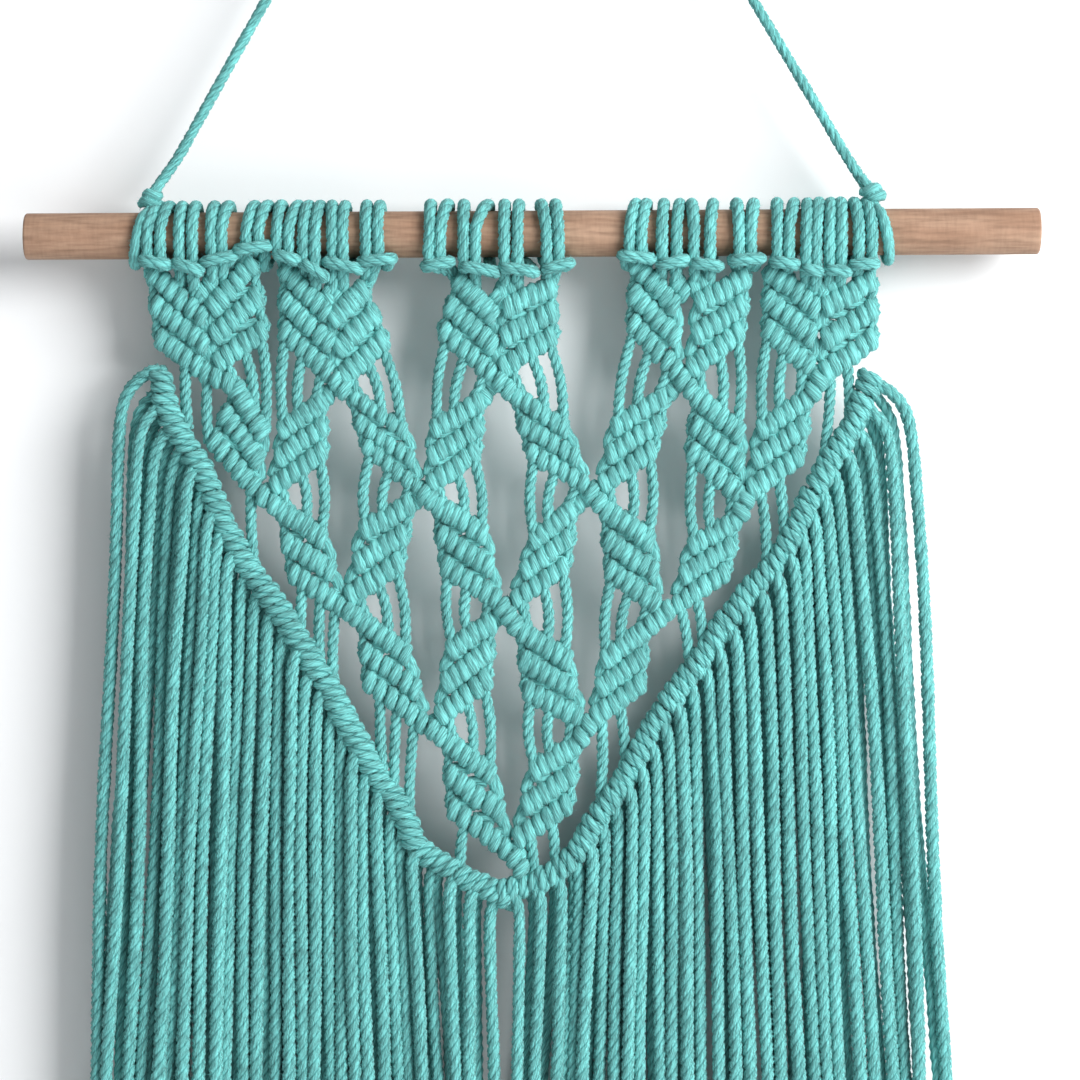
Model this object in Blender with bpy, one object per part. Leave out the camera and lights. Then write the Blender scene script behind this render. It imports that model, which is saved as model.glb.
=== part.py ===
"""Macrame wall hanging on a wooden dowel.

Forty cords are tied to a dowel with twenty lark's heads and knotted into a lattice of thirty leaves,
in tiers of 10, 8, 6, 4 and 2. Each leaf is three rows of double half hitches. Two border bars close the
lattice to a V, and the fringe is tied along them. A cord from knot to knot carries the dowel on a hook.

Frame: metres, +Z up, +X to the right, and the front faces -Y. The origin is where the hanging cord rests
on its hook. Tables are in millimetres: x from the plumb line under the hook, drop below the dowel's axis.
"""

import math
from collections import namedtuple

import bmesh
import bpy
import numpy as np

MM = 0.001

# Dowel
DOWEL_LENGTH = 350.0
DOWEL_DIAMETER = 16.0
DOWEL_SIDES = 20
DOWEL_EDGE = 1.2  # softened edge at each end
DOWEL_EDGE_STEPS = 2
DOWEL_CENTRE_X = 10.0
DOWEL_SLOPE = 0.004  # the right end hangs a little higher
HANG_HEIGHT = 202.8  # from the dowel's axis up to the hook

# Cord
STRAND = 3.6  # width of a modelled strand, less than the real cord so that strands stand apart
LOOSE_REACH = 2.2  # from a loose cord's middle to each of its three corners
GAP = 0.3  # between pieces
PANEL_Y = -2.0  # middle plane of the knotted work
CURVE_STEPS = 16  # samples between two points of a smooth path
SHARP_ANGLE = 40  # degrees, past which an edge is shaded sharp

# Lark's heads
LOOP_REACH = 2.2  # from a loop's middle to each side corner of its three-sided section
LOOP_DEPTH = 2.0  # from its middle to the outer corner
LOOP_RADIUS = 10.5  # of the loop's middle at its corners: between them it still clears the dowel
LOOP_ANGLES = (-2, 44, 90, 136, 184)  # degrees, from the front, over the top, to the back
LOOP_FOOT = (3.2, 17.5)  # y and drop at which a loop has passed under the dowel
LOOP_SPREAD = 2.4  # half the distance between the two cords of a lark's head
LOOP_END_Y = -1.8
BIGHT_HALF_LENGTH = 3.4  # to the corners of the bight before the dowel
BIGHT_REACH = 2.9  # in place of the loop's own at those corners
BIGHT_Y = -9.4

# Leaves
LATTICE_TOP = 8.9  # nothing of a leaf reaches higher, so that it clears the dowel
ROW_HALF_WIDTH = 4.0
ROW_OVERRUN = 1.5  # past the first and last ridge
RIDGES = 6
RIDGE_CREST = 4.4
RIDGE_VALLEY = 3.3
ROW_VALLEY = 2.4  # depth between two rows
BACK_CREST = 4.0
CORNER_INSET = 0.07
CROSSING_HALF_WIDTH = 3.4
CROSSING_HALF_DEPTH = 2.8
CROSSING_OVERRUN = 0.06  # share of its length by which a crossing's bar runs into each leaf
CROSSING_OFFSET = 0.93  # the front bar of a crossing lies before the middle plane, the other behind it
LOOSE_AT = (0.14, 0.47)  # where the outer and the middle loose cord leave a row
LOOSE_BOW = (1.8, 0.4)  # how far each bows outwards
LOOSE_Y = (-1.7, -2.5)
LOOSE_INSET = 2.4  # how far its ends stop short of the rows' middles

# Ties from the lattice's edge to the border
TIE_Y = -2.15
TIE_CLEARANCE = 5.9  # from a tie's end to the border bar's middle
TIE_TRIM = 0.02  # share of a tie's length by which it is shortened until it is clear

# Border and fringe
BORDER_CREST = 4.3
BORDER_VALLEY = 3.5
BORDER_Y = -2.6
BORDER_KNOTS = 28
BORDER_SIDES = 5
FRINGE_BOTTOM = 430.0  # drop of the trimmed ends
FRINGE_PITCH_DROP = 291.0  # drop at which the strands have spread to their full pitch
FRINGE_FRONT_Y = -4.8
FRINGE_BACK_Y = 0.4
FRINGE_BACK_REACH = 1.9  # from a back strand's middle to each of its three corners
OUTER_STRANDS = 8  # these swing out in an arc before they hang
OUTER_POWER = 0.33  # of the outermost one's arc; the others' rise to 1, which is straight
ROOT_RISE = 0.45  # by which a strand starts above the bar's middle line
OUTER_DROPS = (5.0, 30.0)  # drops below the root at which their arc has a corner

# Hanging cord and its knots on the dowel
HANGING_CORD = 4.0
HANGING_CORD_ROUNDNESS = 1
HANGER_LOOP_SEGMENTS = 14
HANGER_LOOP_SIDES = 6

# Finishes: colour and roughness
COTTON = ((0.19, 0.52, 0.50), 0.9)
WOOD = ((0.45, 0.30, 0.21), 0.6)

Leaf = namedtuple("Leaf", "root_x root_drop inner_x inner_drop outer_x outer_drop tip_x tip_drop")
Hitch = namedtuple("Hitch", "x bight_x bight_drop")
Tie = namedtuple("Tie", "x drop end_x end_drop")
Arm = namedtuple("Arm", "name outer_x inner_x bar")
Hanger = namedtuple("Hanger", "name x height lean")
Ring = namedtuple("Ring", "out up radius")

# Leaves stand in pairs that meet at a crossing: the rows of a pair's first leaf run down to the right, those
# of its second down to the left. The first row goes from root to inner, the third from outer to tip, and the
# second lies midway.
TIERS = (
    (
        Leaf(-121.0, 13.0, -103.5, 29.0, -118.5, 35.5, -102.0, 47.5),
        Leaf(-86.5, 10.5, -100.0, 25.0, -83.0, 33.0, -98.0, 44.0),
        Leaf(-75.0, 12.5, -60.5, 27.0, -75.5, 33.0, -60.0, 47.5),
        Leaf(-48.5, 19.5, -58.0, 29.0, -41.5, 36.5, -55.0, 49.0),
        Leaf(-15.0, 16.0, -4.0, 28.0, -20.5, 33.5, -3.5, 48.0),
        Leaf(16.0, 18.5, 1.5, 25.0, 17.0, 35.0, 0.0, 45.5),
        Leaf(46.0, 10.5, 59.0, 24.5, 44.5, 30.5, 59.5, 47.0),
        Leaf(83.0, 15.0, 68.0, 23.5, 81.5, 33.5, 65.0, 46.0),
        Leaf(92.0, 12.5, 107.5, 25.5, 91.0, 32.5, 105.5, 45.5),
        Leaf(126.5, 16.5, 112.0, 24.5, 127.0, 36.0, 111.0, 47.5),
    ),
    (
        Leaf(-92.0, 53.5, -83.0, 68.0, -99.5, 71.0, -85.5, 87.5),
        Leaf(-63.0, 58.0, -75.5, 67.5, -62.5, 75.0, -79.0, 86.5),
        Leaf(-52.0, 56.0, -34.5, 67.5, -47.0, 73.5, -29.5, 87.5),
        Leaf(-8.5, 58.0, -23.0, 67.0, -9.5, 75.0, -25.0, 86.0),
        Leaf(4.5, 56.0, 21.5, 67.0, 9.5, 75.0, 28.0, 86.5),
        Leaf(55.5, 56.0, 39.0, 66.0, 51.5, 74.5, 34.0, 86.0),
        Leaf(67.0, 56.0, 81.0, 68.0, 65.0, 75.0, 81.5, 90.0),
        Leaf(104.5, 57.0, 89.0, 67.0, 102.0, 76.0, 85.5, 88.0),
    ),
    (
        Leaf(-76.0, 95.5, -62.5, 104.5, -72.5, 117.0, -55.5, 128.0),
        Leaf(-32.5, 93.5, -48.0, 102.0, -36.0, 113.0, -52.5, 124.5),
        Leaf(-22.5, 93.5, -7.0, 103.0, -20.0, 114.0, -2.5, 126.0),
        Leaf(23.5, 95.0, 10.5, 105.5, 21.5, 114.0, 4.0, 126.0),
        Leaf(35.5, 95.0, 50.5, 105.5, 37.0, 115.5, 52.5, 127.5),
        Leaf(80.0, 98.5, 65.5, 107.0, 76.5, 116.5, 59.5, 127.5),
    ),
    (
        Leaf(-48.5, 133.5, -33.5, 145.0, -46.5, 154.0, -27.0, 168.5),
        Leaf(-4.5, 134.0, -17.5, 143.0, -6.0, 153.5, -21.5, 166.0),
        Leaf(6.5, 137.0, 21.5, 146.5, 8.5, 157.0, 26.0, 166.5),
        Leaf(48.5, 136.5, 35.5, 146.0, 47.0, 155.0, 32.0, 166.0),
    ),
    (
        Leaf(-19.0, 175.0, -4.5, 186.0, -17.5, 197.5, 1.5, 212.0),
        Leaf(24.5, 176.0, 10.5, 185.0, 22.5, 196.0, 5.0, 208.0),
    ),
)

# Two for each leaf of the first tier, from left to right
HITCHES = (
    Hitch(-118.5, -120.0, 11.0),
    Hitch(-108.5, -108.5, 12.5),
    Hitch(-97.5, -98.0, 9.0),
    Hitch(-86.0, -86.0, 6.0),
    Hitch(-75.0, -74.5, 8.0),
    Hitch(-65.5, -66.5, 11.5),
    Hitch(-56.5, -56.0, 11.0),
    Hitch(-44.5, -43.5, 9.0),
    Hitch(-22.5, -22.5, 11.5),
    Hitch(-10.0, -9.5, 13.5),
    Hitch(3.5, 1.5, 14.0),
    Hitch(16.5, 18.0, 12.5),
    Hitch(46.5, 46.0, 8.5),
    Hitch(58.0, 58.0, 10.0),
    Hitch(68.5, 70.0, 11.0),
    Hitch(84.0, 83.5, 9.0),
    Hitch(98.0, 96.5, 10.5),
    Hitch(106.5, 105.5, 12.5),
    Hitch(115.0, 114.0, 12.5),
    Hitch(123.5, 125.5, 11.5),
)

# Short cords from the lattice's edge on to the border
TIES = (
    Tie(-109.5, 45.0, -108.5, 67.0),
    Tie(-102.0, 48.0, -101.5, 72.0),
    Tie(-87.0, 89.0, -85.5, 116.0),
    Tie(-69.0, 119.5, -69.5, 141.0),
    Tie(-63.0, 124.5, -63.0, 151.0),
    Tie(-58.0, 128.0, -58.5, 160.0),
    Tie(-42.5, 157.0, -41.0, 190.0),
    Tie(-36.5, 161.5, -37.5, 196.0),
    Tie(-30.5, 166.0, -32.5, 202.0),
    Tie(118.5, 42.5, 119.0, 66.0),
    Tie(113.0, 46.5, 110.5, 78.0),
    Tie(94.5, 81.0, 97.0, 104.0),
    Tie(88.5, 86.0, 91.0, 113.0),
    Tie(61.0, 127.0, 64.5, 150.0),
    Tie(66.5, 124.0, 69.0, 142.0),
    Tie(34.0, 164.5, 33.5, 198.0),
    Tie(40.0, 160.5, 42.5, 187.0),
    Tie(-13.0, 201.0, -15.0, 220.0),
    Tie(16.5, 200.5, 18.0, 222.0),
    Tie(9.0, 205.0, 11.0, 228.0),
)

# bar: the (x, drop) places through which the border bar runs, from the top to the V's point
LEFT_BAR = (
    (-118.5, 47.5), (-114.5, 64.0), (-103.5, 82.0), (-93.5, 105.5), (-77.5, 129.5),
    (-61.5, 154.0), (-44.5, 185.0), (-25.0, 212.0), (-12.0, 222.0), (2.0, 228.5),
)
RIGHT_BAR = (
    (126.5, 48.0), (122.0, 62.5), (109.0, 84.5), (96.0, 110.0), (83.0, 125.5), (66.0, 149.0),
    (51.5, 170.0), (41.0, 189.5), (30.5, 204.0), (20.5, 220.5), (8.0, 227.5),
)
ARMS = (
    Arm("fringe_left", -144.0, 0.0, LEFT_BAR),
    Arm("fringe_right", 156.0, 4.5, RIGHT_BAR),
)

HANGERS = (
    Hanger("hanger_knot_left", -125.6, 12.6, -2.4),
    Hanger("hanger_knot_right", 130.3, 14.4, 3.0),
)

# Sections of the knot on top of a hanger's loop: distance out along the dowel, and up from its height
KNOT_Y = -2.8
KNOT = (Ring(3.4, -1.2, 1.6), Ring(1.4, -0.2, 2.7), Ring(-0.8, 0.6, 2.6), Ring(-4.0, 2.4, 1.7))

# Route of the hanging cord: x, and height above the dowel's axis
HANGING_ROUTE = (
    (-120.5, 15.1), (-115.6, 21.6), (-111.2, 28.6), (-105.6, 38.6), (-96.2, 55.5), (-82.2, 80.5),
    (-64.6, 112.0), (-46.8, 144.0), (-29.0, 176.0), (-19.1, 193.8), (-11.0, 201.9), (0.0, 204.8),
    (11.0, 201.9), (19.1, 193.8), (29.7, 176.0), (48.8, 144.0), (67.9, 112.0), (86.7, 80.5),
    (101.4, 56.0), (112.0, 38.2), (117.4, 29.0), (121.4, 22.6), (125.2, 16.9),
)
HANGING_STEP = 14.0


def place(x, y, drop):
    """A point from its x, y and drop in millimetres."""
    return (x * MM, y * MM, -(HANG_HEIGHT + drop) * MM)


def axis_drop(x):
    """Drop of the sloping dowel's axis at x."""
    return -DOWEL_SLOPE * (x - DOWEL_CENTRE_X)


def lerp(start, end, share):
    """The place at a share of the way from start to end."""
    return np.asarray(start, float) * (1 - share) + np.asarray(end, float) * share


def smooth_path(points, step):
    """Points about step apart on a Catmull-Rom curve through the given ones."""
    points = np.asarray(points, float)
    padded = np.vstack([2 * points[0] - points[1], points, 2 * points[-1] - points[-2]])
    share = np.linspace(0, 1, CURVE_STEPS, endpoint=False)[:, None]
    pieces = []
    for a, b, c, d in zip(padded[:-3], padded[1:-2], padded[2:-1], padded[3:]):
        pieces.append(
            0.5 * (2 * b + (c - a) * share + (2 * a - 5 * b + 4 * c - d) * share ** 2
                   + (3 * b - a - 3 * c + d) * share ** 3)
        )
    dense = np.vstack(pieces + [points[-1:]])
    length = np.concatenate([[0], np.cumsum(np.linalg.norm(np.diff(dense, axis=0), axis=1))])
    count = max(2, round(length[-1] / step) + 1)
    wanted = np.linspace(0, length[-1], count)
    return np.column_stack([np.interp(wanted, length, column) for column in dense.T])


def material(name, colour, roughness):
    """A plain finish."""
    made = bpy.data.materials.new(name)
    made.use_nodes = True
    shader = made.node_tree.nodes["Principled BSDF"]
    shader.inputs["Base Color"].default_value = (*colour, 1.0)
    shader.inputs["Roughness"].default_value = roughness
    shader.inputs["Metallic"].default_value = 0.0
    made.diffuse_color = (*colour, 1.0)
    return made


class Body:
    """Closed shells that are gathered and then united into one solid."""

    def __init__(self):
        self.shells = []

    def add(self, points, faces):
        """Takes a closed shell: (x, y, drop) points, and faces as lists of their numbers."""
        self.shells.append((points, faces))

    def tube(self, path, half_width, sides=4, half_depth=None):
        """A strand: a section of so many sides carried along the path, with a cap at each end."""
        path = np.asarray(path, float)
        widths = np.broadcast_to(half_width, len(path))
        depths = widths if half_depth is None else np.broadcast_to(half_depth, len(path))
        run = np.gradient(path, axis=0)
        run /= np.linalg.norm(run, axis=1)[:, None]
        across = np.cross(run, (0.0, 1.0, 0.0))
        across[0] /= np.linalg.norm(across[0])
        for ring in range(1, len(run)):
            before, here, carried = run[ring - 1], run[ring], across[ring - 1]
            across[ring] = carried - np.dot(carried, here) / (1 + np.dot(before, here)) * (before + here)
        out = np.cross(across, run)
        start_angle = math.pi / 4 if sides == 4 else -math.pi / 2
        angles = start_angle + 2 * math.pi * np.arange(sides) / sides
        reach = 1 / math.cos(math.pi / sides) if sides == 4 else 1.0
        points = []
        for centre, a, o, w, d in zip(path, across, out, widths, depths):
            points += [centre + reach * (w * math.cos(t) * a + d * math.sin(t) * o) for t in angles]
        faces = [list(range(sides))[::-1], list(range(len(points) - sides, len(points)))]
        for ring in range(len(path) - 1):
            for k in range(sides):
                first = ring * sides + k
                second = ring * sides + (k + 1) % sides
                faces.append([first, second, second + sides, first + sides])
        self.add(points, faces)

    def mesh(self, name, shells):
        """One mesh of the shells, with every face turned outwards."""
        shape = bmesh.new()
        for points, faces in shells:
            corners = [shape.verts.new(place(*point)) for point in points]
            for face in faces:
                shape.faces.new([corners[k] for k in face])
        bmesh.ops.recalc_face_normals(shape, faces=shape.faces[:])
        mesh = bpy.data.meshes.new(name)
        shape.to_mesh(mesh)
        shape.free()
        return mesh

    def solid(self, name, finish):
        """The object: the first shell, with all the others united to it."""
        result = bpy.data.objects.new(name, self.mesh(name, self.shells[:1]))
        result.data.materials.append(finish)
        bpy.context.scene.collection.objects.link(result)
        if len(self.shells) > 1:
            helper = bpy.data.objects.new("shells_" + name, self.mesh("shells_" + name, self.shells[1:]))
            helper.data.materials.append(finish)
            helper.hide_render = True
            helper.display_type = "WIRE"
            bpy.context.scene.collection.objects.link(helper)
            union = result.modifiers.new("union", "BOOLEAN")
            union.operation = "UNION"
            union.solver = "EXACT"
            union.use_self = True
            union.object = helper
        return result


class LeafRows:
    """The three rows of a leaf as lines in the plane of the work."""

    def __init__(self, leaf):
        root, inner = (leaf.root_x, leaf.root_drop), (leaf.inner_x, leaf.inner_drop)
        outer, tip = (leaf.outer_x, leaf.outer_drop), (leaf.tip_x, leaf.tip_drop)
        self.starts = [lerp(root, outer, row / 2) for row in range(3)]
        self.ends = [lerp(inner, tip, row / 2) for row in range(3)]

    def at(self, row, share):
        """The (x, drop) place at a share of a row's length."""
        return lerp(self.starts[row], self.ends[row], share)

    def lines(self):
        """Seven lines down the leaf: edge, crest, valley, crest, valley, crest, edge."""
        crests = []
        for start, end in zip(self.starts, self.ends):
            along = (end - start) / np.linalg.norm(end - start)
            crests.append((start - ROW_OVERRUN * along, end + ROW_OVERRUN * along))
        edges = []
        for row, sign in ((0, -1), (2, 1)):
            start, end = crests[row]
            along = (end - start) / np.linalg.norm(end - start)
            down = np.array([-along[1], along[0]])
            down *= math.copysign(1.0, down[1])
            shift = sign * ROW_HALF_WIDTH * down
            corners = [lerp(start, end, inset) + shift for inset in (CORNER_INSET, 1 - CORNER_INSET)]
            edges.append([np.maximum(corner, (-math.inf, LATTICE_TOP)) for corner in corners])
        valleys = [(lerp(a[0], b[0], 0.5), lerp(a[1], b[1], 0.5)) for a, b in zip(crests, crests[1:])]
        return [edges[0], crests[0], valleys[0], crests[1], valleys[1], crests[2], edges[1]]


def strip(first, second):
    """Triangles between two lines of (share, corner) pairs that may differ in number."""
    triangles = []
    i = j = 0
    while i < len(first) - 1 or j < len(second) - 1:
        step_first = first[i + 1][0] if i < len(first) - 1 else math.inf
        step_second = second[j + 1][0] if j < len(second) - 1 else math.inf
        if step_first <= step_second:
            triangles.append([first[i][1], first[i + 1][1], second[j][1]])
            i += 1
        else:
            triangles.append([first[i][1], second[j + 1][1], second[j][1]])
            j += 1
    return triangles


def add_leaf(body, rows):
    """A ridged leaf: six ridges on each row in front, a plain quilted back, and a shared rim."""
    points, faces = [], []

    def line(ends, shares, depths, first=None, last=None):
        made = []
        for share, depth in zip(shares, depths):
            known = first if share == 0 else last if share == 1 else None
            if known is None:
                x, drop = lerp(ends[0], ends[1], share)
                points.append((x, PANEL_Y + depth, drop))
                known = len(points) - 1
            made.append((share, known))
        return made

    steps = 2 * RIDGES
    ridge_shares = [k / steps for k in range(steps + 1)]
    ridge_depths = [0.0] + [-RIDGE_CREST if k % 2 else -RIDGE_VALLEY for k in range(1, steps)] + [0.0]
    edge_shares = (0, 1 / 3, 2 / 3, 1)
    front, back = [], []
    for number, ends in enumerate(rows.lines()):
        if number % 2:
            shown = line(ends, ridge_shares, ridge_depths)
            hidden = line(ends, (0, 0.5, 1), (0, BACK_CREST, 0), shown[0][1], shown[-1][1])
        elif number in (0, 6):
            shown = hidden = line(ends, edge_shares, (0, 0, 0, 0))
        else:
            shown = line(ends, edge_shares, (0, -ROW_VALLEY, -ROW_VALLEY, 0))
            hidden = line(ends, edge_shares, (0, ROW_VALLEY, ROW_VALLEY, 0), shown[0][1], shown[-1][1])
        front.append(shown)
        back.append(hidden)
    for lines in (front, back):
        for upper, lower in zip(lines[:-2], lines[1:-1]):
            faces += strip(upper, lower)
        faces += strip(lines[-1], lines[-2])
    body.add(points, faces)


def add_crossing(body, start, end, offset):
    """A short bar of hitches from one leaf's last row on to the next leaf's first."""
    path = [lerp(start, end, share) for share in (-CROSSING_OVERRUN, 1 + CROSSING_OVERRUN)]
    path = [(x, PANEL_Y + offset, drop) for x, drop in path]
    body.tube(path, CROSSING_HALF_WIDTH, half_depth=CROSSING_HALF_DEPTH)


def add_loose_cord(body, upper, lower, side, share, bow, y):
    """A cord that hangs free from a row of the leaf above to a row of the leaf below."""
    start, end = upper.at(2, share), lower.at(0, 1 - share)
    inset = LOOSE_INSET / np.linalg.norm(end - start)
    middle = lerp(start, end, 0.5) + (side * bow, 0)
    path = [lerp(start, end, inset), middle, lerp(end, start, inset)]
    body.tube([(x, y, drop) for x, drop in path], LOOSE_REACH, sides=3)


def add_lattice(body):
    """Leaves, the bars of each crossing, and the loose cords beside it."""
    tiers = [[LeafRows(leaf) for leaf in tier] for tier in TIERS]
    for tier in tiers:
        for rows in tier:
            add_leaf(body, rows)
    for number, tier in enumerate(tiers):
        below = tiers[number + 1] if number + 1 < len(tiers) else []
        for k in range(len(tier) // 2):
            left, right = tier[2 * k], tier[2 * k + 1]
            next_right = below[2 * k] if 2 * k < len(below) else None
            next_left = below[2 * k - 1] if k > 0 else None
            meeting = lerp(left.ends[2], right.ends[2], 0.5) + (0, ROW_HALF_WIDTH)
            front_end = next_right.starts[0] if next_right else meeting
            back_end = next_left.starts[0] if next_left else meeting
            add_crossing(body, left.ends[2], front_end, -CROSSING_OFFSET)
            add_crossing(body, right.ends[2], back_end, CROSSING_OFFSET)
            for share, bow, y in zip(LOOSE_AT, LOOSE_BOW, LOOSE_Y):
                if next_left:
                    add_loose_cord(body, left, next_left, -1, share, bow, y)
                if next_right:
                    add_loose_cord(body, right, next_right, 1, share, bow, y)


def add_hitch(body, hitch, rows):
    """A lark's head in one run: from the leaf up the dowel's back, over it, and back again."""
    axis = axis_drop(hitch.x)
    low, high = sorted((rows.starts[0], rows.ends[0]), key=lambda point: point[0])
    legs = []
    for sign in (-1, 1):
        x = hitch.x + sign * LOOP_SPREAD
        share = min(max((x - low[0]) / (high[0] - low[0]), 0.0), 1.0)
        foot_x, foot_drop = lerp(low, high, share)
        leg = [(hitch.bight_x + sign * BIGHT_HALF_LENGTH, BIGHT_Y, hitch.bight_drop)]
        for angle in LOOP_ANGLES:
            turn = math.radians(angle)
            leg.append((x, -LOOP_RADIUS * math.cos(turn), axis - LOOP_RADIUS * math.sin(turn)))
        leg.append((lerp(x, foot_x, 0.5), LOOP_FOOT[0], axis + LOOP_FOOT[1]))
        leg.append((foot_x, LOOP_END_Y, max(foot_drop, axis + LOOP_FOOT[1] + STRAND)))
        legs.append(leg)
    reach = [LOOP_REACH] * (len(legs[0]) - 1)
    body.tube(
        legs[0][::-1] + legs[1], reach + [BIGHT_REACH, BIGHT_REACH] + reach, sides=3,
        half_depth=-LOOP_DEPTH,  # negative, so that the single corner points away from the dowel
    )


def add_tie(body, tie, bars):
    """A short cord that ends a gap short of the border bar."""
    start, end = (tie.x, tie.drop), (tie.end_x, tie.end_drop)
    share = 1.0
    while min(np.linalg.norm(bars - lerp(start, end, share), axis=1)) < TIE_CLEARANCE:
        share -= TIE_TRIM
    foot = lerp(start, end, share)
    body.tube([(tie.x, TIE_Y, tie.drop), (foot[0], TIE_Y, foot[1])], STRAND / 2)


def knotted_panel(finish):
    """The one-piece cloth: lattice, lark's heads and ties."""
    body = Body()
    add_lattice(body)
    first_tier = [LeafRows(leaf) for leaf in TIERS[0]]
    for number, hitch in enumerate(HITCHES):
        add_hitch(body, hitch, first_tier[number // 2])
    bars = np.vstack([smooth_path(arm.bar, 1.0) for arm in ARMS])
    for tie in TIES:
        add_tie(body, tie, bars)
    return body.solid("knotted_panel", finish)


def strand_path(root, y, bottom_x, power):
    """From its root on the bar to its trimmed end; an outer strand first swings out in an arc."""
    root_x, root_drop = root
    path = [(root_x, y, root_drop - ROOT_RISE)]
    if power < 1:
        for drop in OUTER_DROPS:
            share = (drop / (FRINGE_PITCH_DROP - root_drop)) ** power
            path.append((lerp(root_x, bottom_x, share), y, root_drop + drop))
    path.append((bottom_x, y, FRINGE_BOTTOM))
    return path


def fringe(arm, finish):
    """A ridged border bar with two layers of strands tied along it."""
    body = Body()
    length = np.sum(np.linalg.norm(np.diff(smooth_path(arm.bar, 1.0), axis=0), axis=1))
    bar = smooth_path(arm.bar, length / (2 * BORDER_KNOTS))
    radii = [BORDER_CREST if k % 2 else BORDER_VALLEY for k in range(len(bar))]
    body.tube([(x, BORDER_Y, drop) for x, drop in bar], radii, sides=BORDER_SIDES)
    pitch = (arm.inner_x - arm.outer_x) / BORDER_KNOTS
    for knot in range(BORDER_KNOTS):
        power = lerp(OUTER_POWER, 1.0, min(knot / OUTER_STRANDS, 1.0))
        bottom = arm.outer_x + (knot + 0.4) * pitch
        front = strand_path(bar[2 * knot], FRINGE_FRONT_Y, bottom, power)
        back = strand_path(bar[2 * knot + 1], FRINGE_BACK_Y, bottom + pitch / 2, power)
        body.tube(front, STRAND / 2)
        body.tube(back, FRINGE_BACK_REACH, sides=3)
    return body.solid(arm.name, finish)


def hanger_knot(hanger, finish):
    """A loop of the hanging cord round the dowel, with the knot that closes it on top."""
    body = Body()
    radius = (DOWEL_DIAMETER / 2 + GAP + HANGING_CORD / 2) / math.cos(math.pi / HANGER_LOOP_SEGMENTS)
    axis = axis_drop(hanger.x)
    points, faces = [], []
    sides = HANGER_LOOP_SIDES
    for k in range(HANGER_LOOP_SEGMENTS):
        turn = 2 * math.pi * k / HANGER_LOOP_SEGMENTS
        sideways = hanger.lean * (1 - math.cos(turn)) / 2
        for side in range(sides):
            around = 2 * math.pi * side / sides
            reach = radius + HANGING_CORD / 2 * math.cos(around)
            points.append((
                hanger.x + sideways + HANGING_CORD / 2 * math.sin(around),
                -reach * math.sin(turn),
                axis - reach * math.cos(turn),
            ))
            nxt = ((k + 1) % HANGER_LOOP_SEGMENTS) * sides
            faces.append([k * sides + side, k * sides + (side + 1) % sides,
                          nxt + (side + 1) % sides, nxt + side])
    body.add(points, faces)
    outwards = math.copysign(1.0, hanger.x)
    knot = [(hanger.x + outwards * ring.out, KNOT_Y, -hanger.height - ring.up) for ring in KNOT]
    body.tube(knot, [ring.radius for ring in KNOT], sides=HANGER_LOOP_SIDES)
    return body.solid(hanger.name, finish)


def dowel(finish):
    """A round rod with softened ends."""
    shape = bmesh.new()
    bmesh.ops.create_cone(
        shape, cap_ends=True, segments=DOWEL_SIDES, radius1=DOWEL_DIAMETER / 2 * MM,
        radius2=DOWEL_DIAMETER / 2 * MM, depth=DOWEL_LENGTH * MM,
    )
    rims = [edge for edge in shape.edges if abs(edge.verts[0].co.z - edge.verts[1].co.z) < 1e-6]
    bmesh.ops.bevel(
        shape, geom=rims, offset=DOWEL_EDGE * MM, segments=DOWEL_EDGE_STEPS, profile=0.5, affect="EDGES",
    )
    mesh = bpy.data.meshes.new("dowel")
    shape.to_mesh(mesh)
    shape.free()
    mesh.shade_smooth()
    mesh.set_sharp_from_angle(angle=math.radians(SHARP_ANGLE))
    mesh.materials.append(finish)
    result = bpy.data.objects.new("dowel", mesh)
    result.location = place(DOWEL_CENTRE_X, 0, 0)
    result.rotation_euler = (0, math.radians(90) - math.atan(DOWEL_SLOPE), 0)
    bpy.context.scene.collection.objects.link(result)
    return result


def hanging_cord(finish):
    """The cord from knot to knot, over the hook."""
    curve = bpy.data.curves.new("hanging_cord", "CURVE")
    curve.dimensions = "3D"
    curve.bevel_depth = HANGING_CORD / 2 * MM
    curve.bevel_resolution = HANGING_CORD_ROUNDNESS
    curve.use_fill_caps = True
    points = smooth_path(HANGING_ROUTE, HANGING_STEP)
    spline = curve.splines.new("POLY")
    spline.points.add(len(points) - 1)
    for corner, (x, height) in zip(spline.points, points):
        corner.co = (*place(x, 0, -height), 1.0)
    curve.materials.append(finish)
    result = bpy.data.objects.new("hanging_cord", curve)
    bpy.context.scene.collection.objects.link(result)
    return result


def main():
    """Clears the file and builds each sub-part."""
    for item in list(bpy.data.objects):
        bpy.data.objects.remove(item)
    cotton = material("turquoise_cotton", *COTTON)
    wood = material("dowel_wood", *WOOD)
    dowel(wood)
    knotted_panel(cotton)
    for arm in ARMS:
        fringe(arm, cotton)
    for hanger in HANGERS:
        hanger_knot(hanger, cotton)
    hanging_cord(cotton)


main()
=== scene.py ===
"""Looks of a macrame wall hanging on a wooden dowel.

Every visible cord is one three-ply strand: a twisted three-lobed section carried along a path. Knots are
coils of such strands round the line of a row. Sizes are in millimetres, x to the right, y to the back and z
up from the dowel's axis; to_world moves them into the row frame, in metres.
"""

import logging
import math
from dataclasses import dataclass, field
from enum import Enum

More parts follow.
